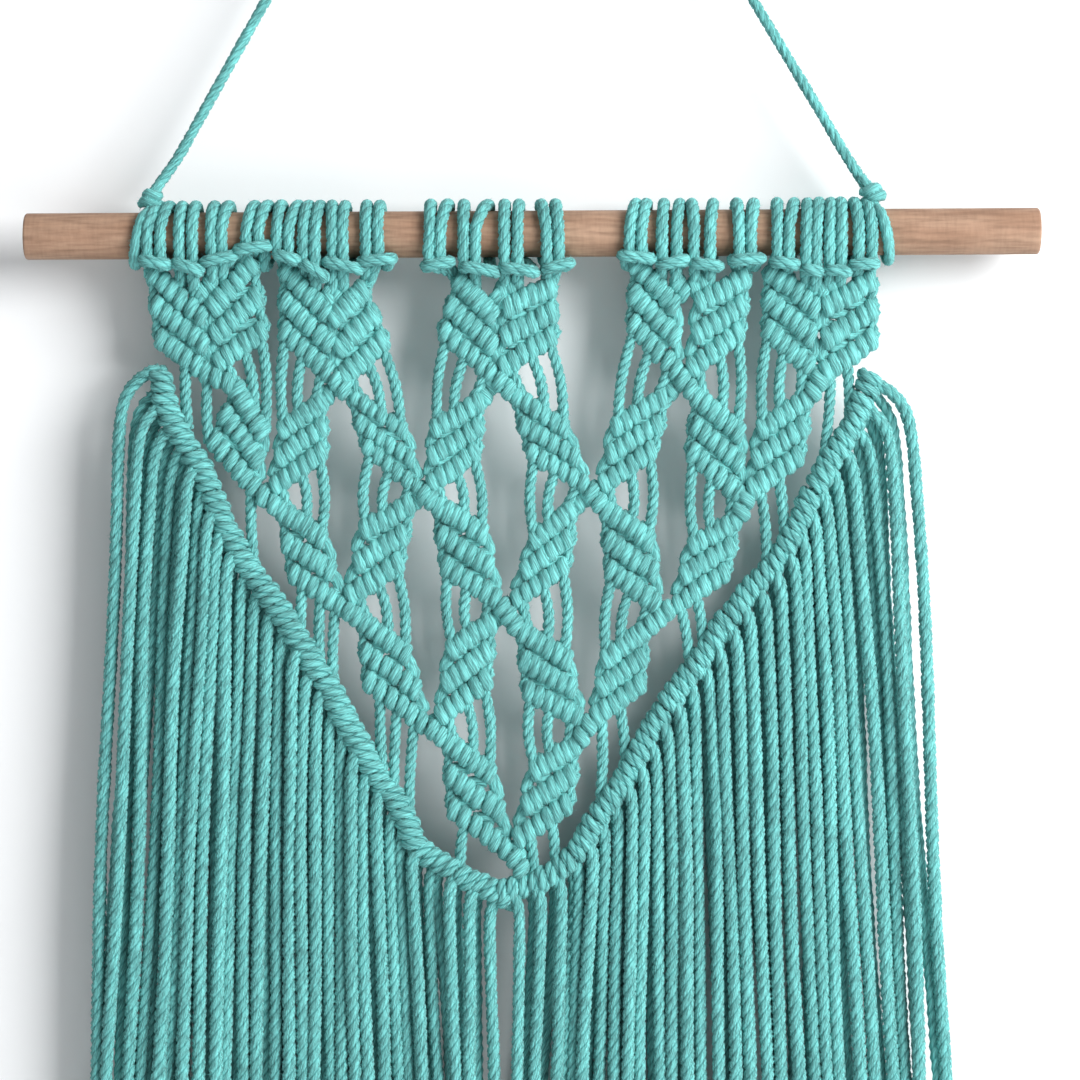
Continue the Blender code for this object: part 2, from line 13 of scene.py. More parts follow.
import bpy
import numpy as np
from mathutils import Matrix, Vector

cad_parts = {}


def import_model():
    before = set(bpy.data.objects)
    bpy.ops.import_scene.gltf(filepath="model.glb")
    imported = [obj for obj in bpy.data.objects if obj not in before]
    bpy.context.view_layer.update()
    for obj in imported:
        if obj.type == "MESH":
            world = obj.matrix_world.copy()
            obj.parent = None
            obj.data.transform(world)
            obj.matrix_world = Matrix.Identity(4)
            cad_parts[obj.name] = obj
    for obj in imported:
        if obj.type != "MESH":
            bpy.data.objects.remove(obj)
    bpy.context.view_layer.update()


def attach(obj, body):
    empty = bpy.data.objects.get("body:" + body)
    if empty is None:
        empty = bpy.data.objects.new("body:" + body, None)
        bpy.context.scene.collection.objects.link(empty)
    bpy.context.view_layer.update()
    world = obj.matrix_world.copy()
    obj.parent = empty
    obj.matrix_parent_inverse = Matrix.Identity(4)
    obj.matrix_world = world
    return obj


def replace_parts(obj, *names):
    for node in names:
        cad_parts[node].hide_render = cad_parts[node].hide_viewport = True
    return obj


log = logging.getLogger("macrame")

MM = 0.001
HANG_HEIGHT = 202.8  # from the dowel's axis up to the hook
KNOTS = 3  # double half hitches in a row
WRAP = 0.5 / KNOTS  # two wraps a knot, as a share of the row
FULL_TURN = 2 * math.pi
FRONT = np.array([0.0, -1.0, 0.0])
DOWN = np.array([0.0, 0.0, -1.0])
Array = np.ndarray
Pair = tuple[float, float]
Triple = tuple[float, float, float]
Colour = tuple[float, float, float, float]


class Side(Enum):
    """Which way a leaf's rows run down."""

    RIGHT = 1
    LEFT = -1


def to_world(points: Array) -> Array:
    """Millimetres from the dowel's axis to metres from the hook: drop by the hang height, then scale.

    Args:
        points: (..., 3) places in millimetres.

    Returns:
        The same places in the row frame, in metres.
    """
    return (np.asarray(points, float) - (0.0, 0.0, HANG_HEIGHT)) * MM


def unit(vectors: Array) -> Array:
    """Vectors divided by their lengths."""
    return vectors / np.maximum(np.linalg.norm(vectors, axis=-1, keepdims=True), 1e-9)


def lerp(start: Array, end: Array, share: float) -> Array:
    """The place at a share of the way from start to end."""
    return np.asarray(start, float) * (1 - share) + np.asarray(end, float) * share


def run_length(points: Array) -> Array:
    """Distance along a polyline from its start to each point."""
    return np.concatenate([[0.0], np.cumsum(np.linalg.norm(np.diff(points, axis=0), axis=1))])


def smooth(points: Array, step: float) -> Array:
    """Resamples a polyline evenly: a Catmull-Rom curve through the points, cut at equal lengths of arc.

    Args:
        points: (n, k) control points; the first three columns are the place.
        step: wanted distance between samples.

    Returns:
        (m, k) samples, all columns carried along.
    """
    points = np.asarray(points, float)
    padded = np.vstack([2 * points[:1] - points[1:2], points, 2 * points[-1:] - points[-2:-1]])
    share = np.linspace(0, 1, 16, endpoint=False)[None, :, None]
    a, b, c, d = (padded[k : len(padded) - 3 + k, None, :] for k in range(4))
    curve = 0.5 * (
        2 * b + (c - a) * share + (2 * a - 5 * b + 4 * c - d) * share**2 + (3 * b - a - 3 * c + d) * share**3
    )
    dense = np.vstack([curve.reshape(-1, points.shape[1]), points[-1:]])
    length = run_length(dense[:, :3])
    wanted = np.linspace(0.0, length[-1], max(2, round(length[-1] / step) + 1))
    return np.column_stack([np.interp(wanted, length, column) for column in dense.T])


def add_piece(mesh: bpy.types.Mesh, finish: bpy.types.Material) -> bpy.types.Object:
    """Puts a mesh into the scene as a piece that rides on the root, and reports it.

    Args:
        mesh: the finished mesh; the piece takes its name.
        finish: its material.

    Returns:
        The piece.
    """
    mesh.materials.append(finish)
    made = bpy.data.objects.new(mesh.name, mesh)
    bpy.context.scene.collection.objects.link(made)
    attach(made, "root")
    log.info("%s: %d triangles", mesh.name, len(mesh.loops) - 2 * len(mesh.polygons))
    return made


@dataclass(frozen=True)
class Lay:
    """How a cord is laid: its size and the section of its three plies.

    radius is in millimetres, and twist is the length of one turn of the plies. depth is how far the creases
    sink, as a share of the radius, crease how dark the painted shade in them is, and step the distance
    between rings. A ply has ply_points points, 2 or 3. fibre_turn is 0 where the fibres run along the cord
    and 1 where they follow the plies. lumps is the unevenness of the thickness, and fuzz the number of stray
    hairs a millimetre.
    """

    radius: float = 2.1
    twist: float = 12.2
    depth: float = 0.26
    step: float = 1.3
    ply_points: int = 3
    # How dark the painted shade in the creases between plies is.
    crease: float = 0.8
    fibre_turn: float = 0.35
    lumps: float = 0.035
    fuzz: float = 1.0

    def section(self) -> tuple[Array, Array, Array]:
        """Angles, relative radii and crown values round the cord, starting in a crease.

        Returns:
            Base angle, radius as a share of the cord's, and 0 in a crease to 1 on a ply's crown; the last
            sets the painted shade in the creases.
        """
        if self.ply_points == 3:
            inside, height = np.array([-60.0, -22.0, 22.0]), np.array([0.0, 1.0, 1.0])
        else:
            inside, height = np.array([-60.0, 0.0]), np.array([0.0, 1.0])
        angles = np.radians(np.concatenate([inside + 120.0 * ply for ply in range(3)]))
        height = np.tile(height, 3)
        # The crown value, lowered in the creases by crease, says where the material paints shade.
        return angles, 1.0 - self.depth * (1.0 - height), 1.0 - self.crease * (1.0 - height)


# crease in each lay sets how dark the painted shade in its creases is.
FALLING = Lay(radius=2.2, twist=20.0, depth=0.13, crease=0.75, step=1.05, fibre_turn=0.1)
RISING = Lay(radius=2.2, twist=18.0, depth=0.12, crease=0.65, step=1.05, fibre_turn=0.0)
LOOSE = Lay(radius=2.05, twist=9.5, depth=0.22, crease=0.9, step=1.15, fibre_turn=0.2)
BORDER = Lay(radius=2.2, twist=13.0, depth=0.18, crease=0.95, step=1.05, fibre_turn=0.2)
CORE = Lay(radius=2.1, twist=12.2, depth=0.1, step=2.4, ply_points=2, fuzz=0.0)


@dataclass
class Weave:
    """Gathers strands into one mesh.

    Hairs are spikes of hair_radius and hair_length that start hair_root under the skin, lean along the strand
    by up to hair_lean and across it by hair_swerve of that. Thickness varies every lump_spacing, end_bulge
    rounds a strand's ends, and fibre_scale turns millimetres along a strand into its UV.
    """

    name: str
    seed: int
    hair_radius: float = 0.06
    hair_length: Pair = (0.4, 1.7)
    hair_lean: float = 1.3
    hair_swerve: float = 0.6
    hair_root: float = 0.2
    lump_spacing: float = 6.0
    end_bulge: float = 0.4
    fibre_scale: float = 0.1
    places: list[Array] = field(default_factory=list)
    quads: list[Array] = field(default_factory=list)
    tris: list[Array] = field(default_factory=list)
    quad_uv: list[Array] = field(default_factory=list)
    tri_uv: list[Array] = field(default_factory=list)
    crowns: list[Array] = field(default_factory=list)
    tones: list[Array] = field(default_factory=list)
    count: int = 0

    def __post_init__(self) -> None:
        """Starts the strand-to-strand variation."""
        self.chance = np.random.default_rng(self.seed)

    def gather(
        self,
        places: Array,
        quads: Array,
        tris: Array,
        quad_uv: Array,
        tri_uv: Array,
        crown: Array,
        tone: float,
    ) -> None:
        """Adds a closed surface to the mesh.

        Args:
            places: (n, 3) corners in millimetres.
            quads: (q, 4) faces, by numbers of corners that start at 0.
            tris: (t, 3) faces, by the same numbers.
            quad_uv: (4 q, 2) places of the quads' corners on the cord's skin.
            tri_uv: (3 t, 2) those of the triangles.
            crown: (n,) 0 in a crease to 1 on a ply's crown, which sets the painted crease shade.
            tone: 0 to 1, how light the surface is dyed.
        """
        self.places.append(places)
        self.quads.append(quads + self.count)
        self.tris.append(tris + self.count)
        self.quad_uv.append(quad_uv)
        self.tri_uv.append(tri_uv)
        self.crowns.append(crown)
        self.tones.append(np.full(len(places), tone))
        self.count += len(places)

    def strand(
        self,
        path: Array,
        outward: Array,
        lay: Lay,
        flat: float = 1.0,
        wide: float = 1.0,
        swell: Array | None = None,
    ) -> None:
        """Adds a strand: at each sample the section is turned by the twist and set across the path.

        A point of the section lies at radius * (cos(angle) * flat * out + sin(angle) * wide * across).

        Args:
            path: (n, 3) control points in millimetres.
            outward: (n, 3) or (3,) direction in which the section is flattened.
            lay: the cord's size and plies.
            flat: scale along outward.
            wide: scale across it.
            swell: (n,) relative size at the control points.
        """
        path = np.asarray(path, float)
        outward = np.broadcast_to(np.asarray(outward, float), path.shape)
        swell = np.ones(len(path)) if swell is None else np.asarray(swell, float)
        sampled = smooth(np.column_stack([path, outward, swell]), lay.step)
        centre, out, size = sampled[:, :3], sampled[:, 3:6], sampled[:, 6]
        along = unit(np.gradient(centre, axis=0))
        out = unit(out - np.sum(out * along, axis=1, keepdims=True) * along)
        across = np.cross(along, out)
        run = run_length(centre)
        base, relative, crown = lay.section()
        angle = base[None, :] + self.chance.uniform(0, FULL_TURN) + (FULL_TURN / lay.twist) * run[:, None]
        beads = self.chance.normal(0, lay.lumps, max(2, round(run[-1] / self.lump_spacing) + 1))
        size = size * (1 + np.interp(run, np.linspace(0, run[-1], len(beads)), beads))
        reach = lay.radius * size[:, None] * relative[None, :]
        ring = (
            centre[:, None, :]
            + (reach * np.cos(angle) * flat)[..., None] * out[:, None, :]
            + (reach * np.sin(angle) * wide)[..., None] * across[:, None, :]
        )
        rings, around = ring.shape[:2]
        first = np.arange(rings * around).reshape(rings, around)
        after = np.roll(first, -1, axis=1)
        poles = rings * around + np.arange(2)
        low = np.stack([np.full(around, poles[0]), after[0], first[0]], -1)
        high = np.stack([np.full(around, poles[1]), first[-1], after[-1]], -1)
        turn = angle / FULL_TURN - lay.fibre_turn * run[:, None] / lay.twist
        turn_after = np.concatenate([turn[:, 1:], turn[:, :1] + 1.0], axis=1)
        far = np.broadcast_to((run * self.fibre_scale)[:, None], turn.shape)
        corners = [
            np.stack([turn[:-1], far[:-1]], -1),
            np.stack([turn_after[:-1], far[:-1]], -1),
            np.stack([turn_after[1:], far[1:]], -1),
            np.stack([turn[1:], far[1:]], -1),
        ]
        cap = np.zeros((around, 3, 2))
        cap[:, 0, 0], cap[:, 1, 0], cap[:, 2, 0] = turn[0], turn_after[0], turn[0]
        ends = np.stack([centre[0] - self.end_bulge * along[0], centre[-1] + self.end_bulge * along[-1]])
        tone = self.chance.uniform(0, 1)
        self.gather(
            places=np.vstack([ring.reshape(-1, 3), ends]),
            quads=np.stack([first[:-1], after[:-1], after[1:], first[1:]], axis=-1).reshape(-1, 4),
            tris=np.vstack([low, high]),
            quad_uv=np.stack(corners, axis=2).reshape(-1, 2),
            tri_uv=np.tile(cap.reshape(-1, 2), (2, 1)),
            crown=np.append(np.tile(crown, rings), [0.5, 0.5]),
            tone=tone,
        )
        self.hairs(ring, centre, along, round(run[-1] * lay.fuzz), tone)

    def hairs(self, ring: Array, centre: Array, along: Array, number: int, tone: float) -> None:
        """Adds stray fibres: closed three-sided spikes that stand out of a strand's skin.

        Args:
            ring: (n, m, 3) places of the skin.
            centre: (n, 3) centre line.
            along: (n, 3) its directions.
            number: how many.
            tone: the strand's tone.
        """
        if number == 0:
            return
        chance = self.chance
        at = chance.integers(0, len(ring), number)
        root = ring[at, chance.integers(0, ring.shape[1], number)]
        normal = unit(root - centre[at])
        lean, swerve = chance.uniform(-self.hair_lean, self.hair_lean, (2, number, 1))
        way = unit(normal + lean * along[at] + self.hair_swerve * swerve * np.cross(normal, along[at]))
        first = unit(np.cross(way, along[at] + 0.01))
        second = np.cross(way, first)
        turn = np.radians([0.0, 120.0, 240.0])[:, None, None]
        girth = np.cos(turn) * first + np.sin(turn) * second
        foot = root - self.hair_root * normal + self.hair_radius * girth
        tip = root + chance.uniform(*self.hair_length, (number, 1)) * way
        spike = np.array([[0, 1, 3], [1, 2, 3], [2, 0, 3], [2, 1, 0]])
        self.gather(
            places=np.concatenate([foot, tip[None]]).transpose(1, 0, 2).reshape(-1, 3),
            quads=np.empty((0, 4), int),
            tris=(4 * np.arange(number)[:, None, None] + spike).reshape(-1, 3),
            quad_uv=np.empty((0, 2)),
            tri_uv=np.zeros((12 * number, 2)),
            crown=np.ones(4 * number),
            tone=tone,
        )

    def build(self, cotton: bpy.types.Material) -> bpy.types.Object:
        """Makes the mesh object of all strands, with its UV map and the crown and tone attributes.

        Args:
            cotton: the cord's finish.

        Returns:
            The piece.
        """
        quads = np.concatenate(self.quads)
        tris = np.concatenate(self.tris)
        mesh = bpy.data.meshes.new(self.name)
        mesh.vertices.add(self.count)
        mesh.vertices.foreach_set("co", to_world(np.concatenate(self.places)).ravel())
        corners = np.concatenate([quads.ravel(), tris.ravel()])
        mesh.loops.add(len(corners))
        mesh.loops.foreach_set("vertex_index", corners.astype(np.int32))
        starts = np.concatenate([np.arange(len(quads)) * 4, len(quads) * 4 + np.arange(len(tris)) * 3])
        mesh.polygons.add(len(starts))
        mesh.polygons.foreach_set("loop_start", starts.astype(np.int32))
        mesh.polygons.foreach_set("use_smooth", np.ones(len(starts), bool))
        mesh.update(calc_edges=True)
        uv = mesh.uv_layers.new(name="cord")
        uv.data.foreach_set("uv", np.concatenate(self.quad_uv + self.tri_uv).astype(np.float32).ravel())
        # crown carries the painted crease shade into the material; tone is each strand's own dye.
        for name, values in (("crown", self.crowns), ("tone", self.tones)):
            layer = mesh.attributes.new(name, "FLOAT", "POINT")
            layer.data.foreach_set("value", np.concatenate(values).astype(np.float32))
        return add_piece(mesh, cotton)


@dataclass(frozen=True)
class Leaf:
    """One leaf by (x, drop) corners: its first row runs from root to inner, its third from outer to tip."""

    side: Side
    root: Pair
    inner: Pair
    outer: Pair
    tip: Pair


@dataclass(frozen=True)
class Hitch:
    """A lark's head: x of each leg over the dowel's top and at its foot, and (x, drop) ends of its bar."""

    left_leg: Pair
    right_leg: Pair
    bar_left: Pair
    bar_right: Pair


@dataclass(frozen=True)
class Tie:
    """A short cord from the lattice's edge to the border."""

    x: float
    drop: float
    end_x: float
    end_drop: float


R, L = Side.RIGHT, Side.LEFT
TIERS = (
    (
        Leaf(R, (-121.0, 13.0), (-103.5, 29.0), (-118.5, 35.5), (-102.0, 47.5)),
        Leaf(L, (-86.5, 10.5), (-100.0, 25.0), (-83.0, 33.0), (-98.0, 44.0)),
        Leaf(R, (-75.0, 12.5), (-60.5, 27.0), (-75.5, 33.0), (-60.0, 47.5)),
        Leaf(L, (-48.5, 19.5), (-58.0, 29.0), (-41.5, 36.5), (-55.0, 49.0)),
        Leaf(R, (-15.0, 16.0), (-4.0, 28.0), (-20.5, 33.5), (-3.5, 48.0)),
        Leaf(L, (16.0, 18.5), (1.5, 25.0), (17.0, 35.0), (0.0, 45.5)),
        Leaf(R, (46.0, 10.5), (59.0, 24.5), (44.5, 30.5), (59.5, 47.0)),
        Leaf(L, (83.0, 15.0), (68.0, 23.5), (81.5, 33.5), (65.0, 46.0)),
        Leaf(R, (92.0, 12.5), (107.5, 25.5), (91.0, 32.5), (105.5, 45.5)),
        Leaf(L, (126.5, 16.5), (112.0, 24.5), (127.0, 36.0), (111.0, 47.5)),
    ),
    (
        Leaf(R, (-92.0, 53.5), (-83.0, 68.0), (-99.5, 71.0), (-85.5, 87.5)),
        Leaf(L, (-63.0, 58.0), (-75.5, 67.5), (-62.5, 75.0), (-79.0, 86.5)),
        Leaf(R, (-52.0, 56.0), (-34.5, 67.5), (-47.0, 73.5), (-29.5, 87.5)),
        Leaf(L, (-8.5, 58.0), (-23.0, 67.0), (-9.5, 75.0), (-25.0, 86.0)),
        Leaf(R, (4.5, 56.0), (21.5, 67.0), (9.5, 75.0), (28.0, 86.5)),
        Leaf(L, (55.5, 56.0), (39.0, 66.0), (51.5, 74.5), (34.0, 86.0)),
        Leaf(R, (67.0, 56.0), (81.0, 68.0), (65.0, 75.0), (81.5, 90.0)),
        Leaf(L, (104.5, 57.0), (89.0, 67.0), (102.0, 76.0), (85.5, 88.0)),
    ),
    (
        Leaf(R, (-76.0, 95.5), (-62.5, 104.5), (-72.5, 117.0), (-55.5, 128.0)),
        Leaf(L, (-32.5, 93.5), (-48.0, 102.0), (-36.0, 113.0), (-52.5, 124.5)),
        Leaf(R, (-22.5, 93.5), (-7.0, 103.0), (-20.0, 114.0), (-2.5, 126.0)),
        Leaf(L, (23.5, 95.0), (10.5, 105.5), (21.5, 114.0), (4.0, 126.0)),
        Leaf(R, (35.5, 95.0), (50.5, 105.5), (37.0, 115.5), (52.5, 127.5)),
        Leaf(L, (80.0, 98.5), (65.5, 107.0), (76.5, 116.5), (59.5, 127.5)),
    ),
    (
        Leaf(R, (-48.5, 133.5), (-33.5, 145.0), (-46.5, 154.0), (-27.0, 168.5)),
        Leaf(L, (-4.5, 134.0), (-17.5, 143.0), (-6.0, 153.5), (-21.5, 166.0)),
        Leaf(R, (6.5, 137.0), (21.5, 146.5), (8.5, 157.0), (26.0, 166.5)),
        Leaf(L, (48.5, 136.5), (35.5, 146.0), (47.0, 155.0), (32.0, 166.0)),
    ),
    (
        Leaf(R, (-19.0, 175.0), (-4.5, 186.0), (-17.5, 197.5), (1.5, 212.0)),
        Leaf(L, (24.5, 176.0), (10.5, 185.0), (22.5, 196.0), (5.0, 208.0)),
    ),
)

# Two for each leaf of the first tier, from left to right
HITCHES = (
    Hitch((-118.5, -122.0), (-115.0, -117.5), (-124.0, 9.5), (-114.5, 11.0)),
    Hitch((-110.5, -111.0), (-106.0, -106.5), (-112.5, 10.5), (-103.5, 13.0)),
    Hitch((-99.5, -100.0), (-94.5, -96.5), (-103.0, 10.0), (-92.0, 8.0)),
    Hitch((-85.5, -88.0), (-81.0, -84.0), (-91.5, 6.0), (-80.0, 4.5)),
    Hitch((-76.5, -77.5), (-70.5, -73.5), (-78.0, 7.5), (-70.0, 9.5)),
    Hitch((-67.0, -68.5), (-63.0, -64.5), (-69.0, 10.5), (-60.5, 15.0)),
    Hitch((-59.0, -58.5), (-54.5, -55.0), (-61.0, 10.0), (-48.5, 12.5)),
    Hitch((-47.0, -47.0), (-42.5, -43.0), (-49.0, 10.0), (-37.5, 9.0)),
    Hitch((-25.0, -25.0), (-19.0, -21.5), (-27.0, 11.5), (-17.5, 10.0)),
    Hitch((-13.5, -13.5), (-5.0, -9.5), (-14.0, 11.5), (-2.0, 13.5)),
    Hitch((0.5, 0.5), (5.5, 5.0), (-0.5, 12.0), (11.5, 13.5)),
    Hitch((13.0, 15.0), (18.0, 19.0), (14.0, 12.5), (23.5, 10.5)),
    Hitch((46.0, 43.5), (49.5, 47.5), (40.5, 8.0), (51.5, 9.0)),
    Hitch((55.5, 54.5), (61.0, 59.5), (53.5, 11.0), (63.0, 9.5)),
    Hitch((65.0, 65.5), (72.5, 71.0), (65.0, 10.5), (74.5, 11.5)),
    Hitch((80.5, 81.0), (86.5, 85.0), (78.0, 9.5), (89.0, 9.0)),
    Hitch((94.5, 94.0), (100.5, 98.0), (92.5, 10.0), (101.0, 11.0)),
    Hitch((105.0, 104.0), (109.0, 107.5), (103.0, 12.5), (109.0, 13.5)),
    Hitch((113.0, 112.0), (116.5, 116.0), (111.0, 12.5), (118.5, 13.5)),
    Hitch((121.0, 122.0), (125.0, 126.5), (119.5, 11.0), (128.0, 10.5)),
)

# Short cords from the lattice's edge on to the border
TIES = (
    Tie(-109.5, 45.0, -108.5, 67.0),
    Tie(-102.0, 48.0, -101.5, 72.0),
    Tie(-87.0, 89.0, -85.5, 116.0),
    Tie(-69.0, 119.5, -69.5, 141.0),
    Tie(-63.0, 124.5, -63.0, 151.0),
    Tie(-58.0, 128.0, -58.5, 160.0),
    Tie(-42.5, 157.0, -41.0, 190.0),
    Tie(-36.5, 161.5, -37.5, 196.0),
    Tie(-30.5, 166.0, -32.5, 202.0),
    Tie(118.5, 42.5, 119.0, 66.0),
    Tie(113.0, 46.5, 110.5, 78.0),
    Tie(94.5, 81.0, 97.0, 104.0),
    Tie(88.5, 86.0, 91.0, 113.0),
    Tie(61.0, 127.0, 64.5, 150.0),
    Tie(66.5, 124.0, 69.0, 142.0),
    Tie(34.0, 164.5, 33.5, 198.0),
    Tie(40.0, 160.5, 42.5, 187.0),
    Tie(-13.0, 201.0, -15.0, 220.0),
    Tie(16.5, 200.5, 18.0, 222.0),
    Tie(9.0, 205.0, 11.0, 228.0),
)

# (x, drop) places through which each arm of the border runs, from the top to the point
LEFT_BAR = (
    (-118.5, 47.5), (-114.5, 64.0), (-103.5, 82.0), (-93.5, 105.5), (-77.5, 129.5), (-61.5, 154.0),
    (-44.5, 185.0), (-38.5, 193.0), (-33.0, 203.0), (-30.0, 210.5), (-22.5, 216.5), (-12.0, 222.0),
    (-3.0, 227.0), (3.0, 230.0),
)
RIGHT_BAR = (
    (126.5, 48.0), (122.0, 62.5), (109.0, 84.5), (96.0, 110.0), (83.0, 125.5), (66.0, 149.0),
    (51.5, 170.0), (41.0, 188.5), (33.5, 198.5), (29.0, 207.0), (23.5, 215.0), (15.5, 221.0),
    (8.0, 224.0), (2.0, 226.0), (-2.5, 227.0),
)

# Route of the hanging cord: x, and height above the dowel's axis
HANGING_ROUTE = (
    (-120.5, 15.1), (-115.6, 21.6), (-111.2, 28.6), (-105.6, 38.6), (-96.2, 55.5), (-82.2, 80.5),
    (-64.6, 112.0), (-46.8, 144.0), (-29.0, 176.0), (-19.1, 193.8), (-11.0, 201.9), (0.0, 204.8),
    (11.0, 201.9), (19.1, 193.8), (29.7, 176.0), (48.8, 144.0), (67.9, 112.0), (86.7, 80.5),
    (101.4, 56.0), (112.0, 38.2), (117.4, 29.0), (121.4, 22.6), (125.2, 16.9),
)


@dataclass
class Row:
    """A bar of double half hitches: coils of a working cord round the line from start to end.

    rising is 1 where a coil climbs in front as it goes along the line, and -1 where it falls. reach is the
    distance from the line to the coiled cord's middle. straight is 0 for an even helix and 1 for wraps that
    cross the front at a right angle and step sideways behind.
    """

    start: Array
    end: Array
    rising: int = -1
    reach: float = 1.7
    straight: float = 0.05

    def __post_init__(self) -> None:
        """Works out the row's own directions: along it, and up across it."""
        self.length = float(np.linalg.norm(self.end - self.start))
        self.along = (self.end - self.start) / self.length
        up = np.cross(self.along, FRONT)
        self.up = unit(up if up[2] > 0 else -up)

    def at(self, share: float) -> Array:
        """The place on the row's line at a share of its length."""
        return self.start + share * (self.end - self.start)

    def coil(self, share: float, pitch: float, wraps: int = 2) -> tuple[Array, Array]:
        """A coil's centre line, with its wraps crossing the front from the given share on.

        The place is line(s) + reach * (sin(angle) * up + cos(angle) * front). With t the angle in turns, s
        goes on by pitch * (t - straight * sin(2 pi t) / (2 pi)). A rising coil goes on for longer behind.

        Args:
            share: share of the row's length where the first wrap crosses the front.
            pitch: distance between wraps, as a share of the row's length.
            wraps: number of crossings in front.

        Returns:
            (n, 3) places and (n, 3) outward directions, from above the row to below it.
        """
        before, after, spare = (0.62, 0.70, 17) if self.rising > 0 else (0.30, 0.27, 8)
        turns = np.linspace(-before, wraps - 1 + after, 12 * (wraps - 1) + spare)
        angle = FULL_TURN * turns * self.rising
        gone = turns - self.straight * np.sin(FULL_TURN * turns) / FULL_TURN
        line = self.start + (share + pitch * gone)[:, None] * (self.end - self.start)
        out = np.sin(angle)[:, None] * self.up + np.cos(angle)[:, None] * FRONT
        return line + self.reach * out, out

    def above(self, share: float) -> Array:
        """Where a working cord comes to the row: above its line and a little behind."""
        return self.at(share) + 1.25 * self.reach * self.up - 1.0 * FRONT

    def below(self, share: float) -> Array:
        """Where it leaves: below the line and a little behind."""
        return self.at(share) - 1.2 * self.reach * self.up - 0.5 * FRONT


def bar(a: Array, b: Array, y: float, reach: float, overrun: float) -> Row:
    """A row between two (x, drop) places at depth y.

    Args:
        a: where it starts.
        b: where it ends.
        y: depth of its line.
        reach: distance from its line to the middle of the coiled cord.
        overrun: how far it goes on past both places.

    Returns:
        The row.
    """
    start = np.array([a[0], y, -a[1]])
    end = np.array([b[0], y, -b[1]])
    along = unit(end - start)
    return Row(start - overrun * along, end + overrun * along, reach=reach)


@dataclass
class LeafRows:
    """The three rows of a leaf.

    depth is the y of its third row and top_depth that of its first. A row's reach is half the distance
    between rows, less half a cord, and overlap more, so that neighbouring rows press on each other.
    """

    leaf: Leaf
    depth: float
    top_depth: float
    overrun: float = 1.5
    overlap: float = 0.35
    cord_half: float = 1.8
    least_reach: float = 1.2
    most_reach: float = 2.3

    def __post_init__(self) -> None:
        """Lays the rows evenly from the first to the third, each as thick as the space that it has."""
        leaf = self.leaf
        across = np.array(leaf.outer) - np.array(leaf.root)
        along = unit(np.array(leaf.inner) - np.array(leaf.root))
        spacing = abs(across[0] * along[1] - across[1] * along[0]) / 2
        reach = spacing / 2 + self.overlap - self.cord_half
        reach = float(np.clip(reach, self.least_reach, self.most_reach))
        self.rows = [
            bar(
                lerp(leaf.root, leaf.outer, share),
                lerp(leaf.inner, leaf.tip, share),
                lerp(self.top_depth, self.depth, share),
                reach,
                self.overrun,
            )
            for share in (0.0, 0.5, 1.0)
        ]
        self.lay = FALLING if leaf.side is Side.RIGHT else RISING


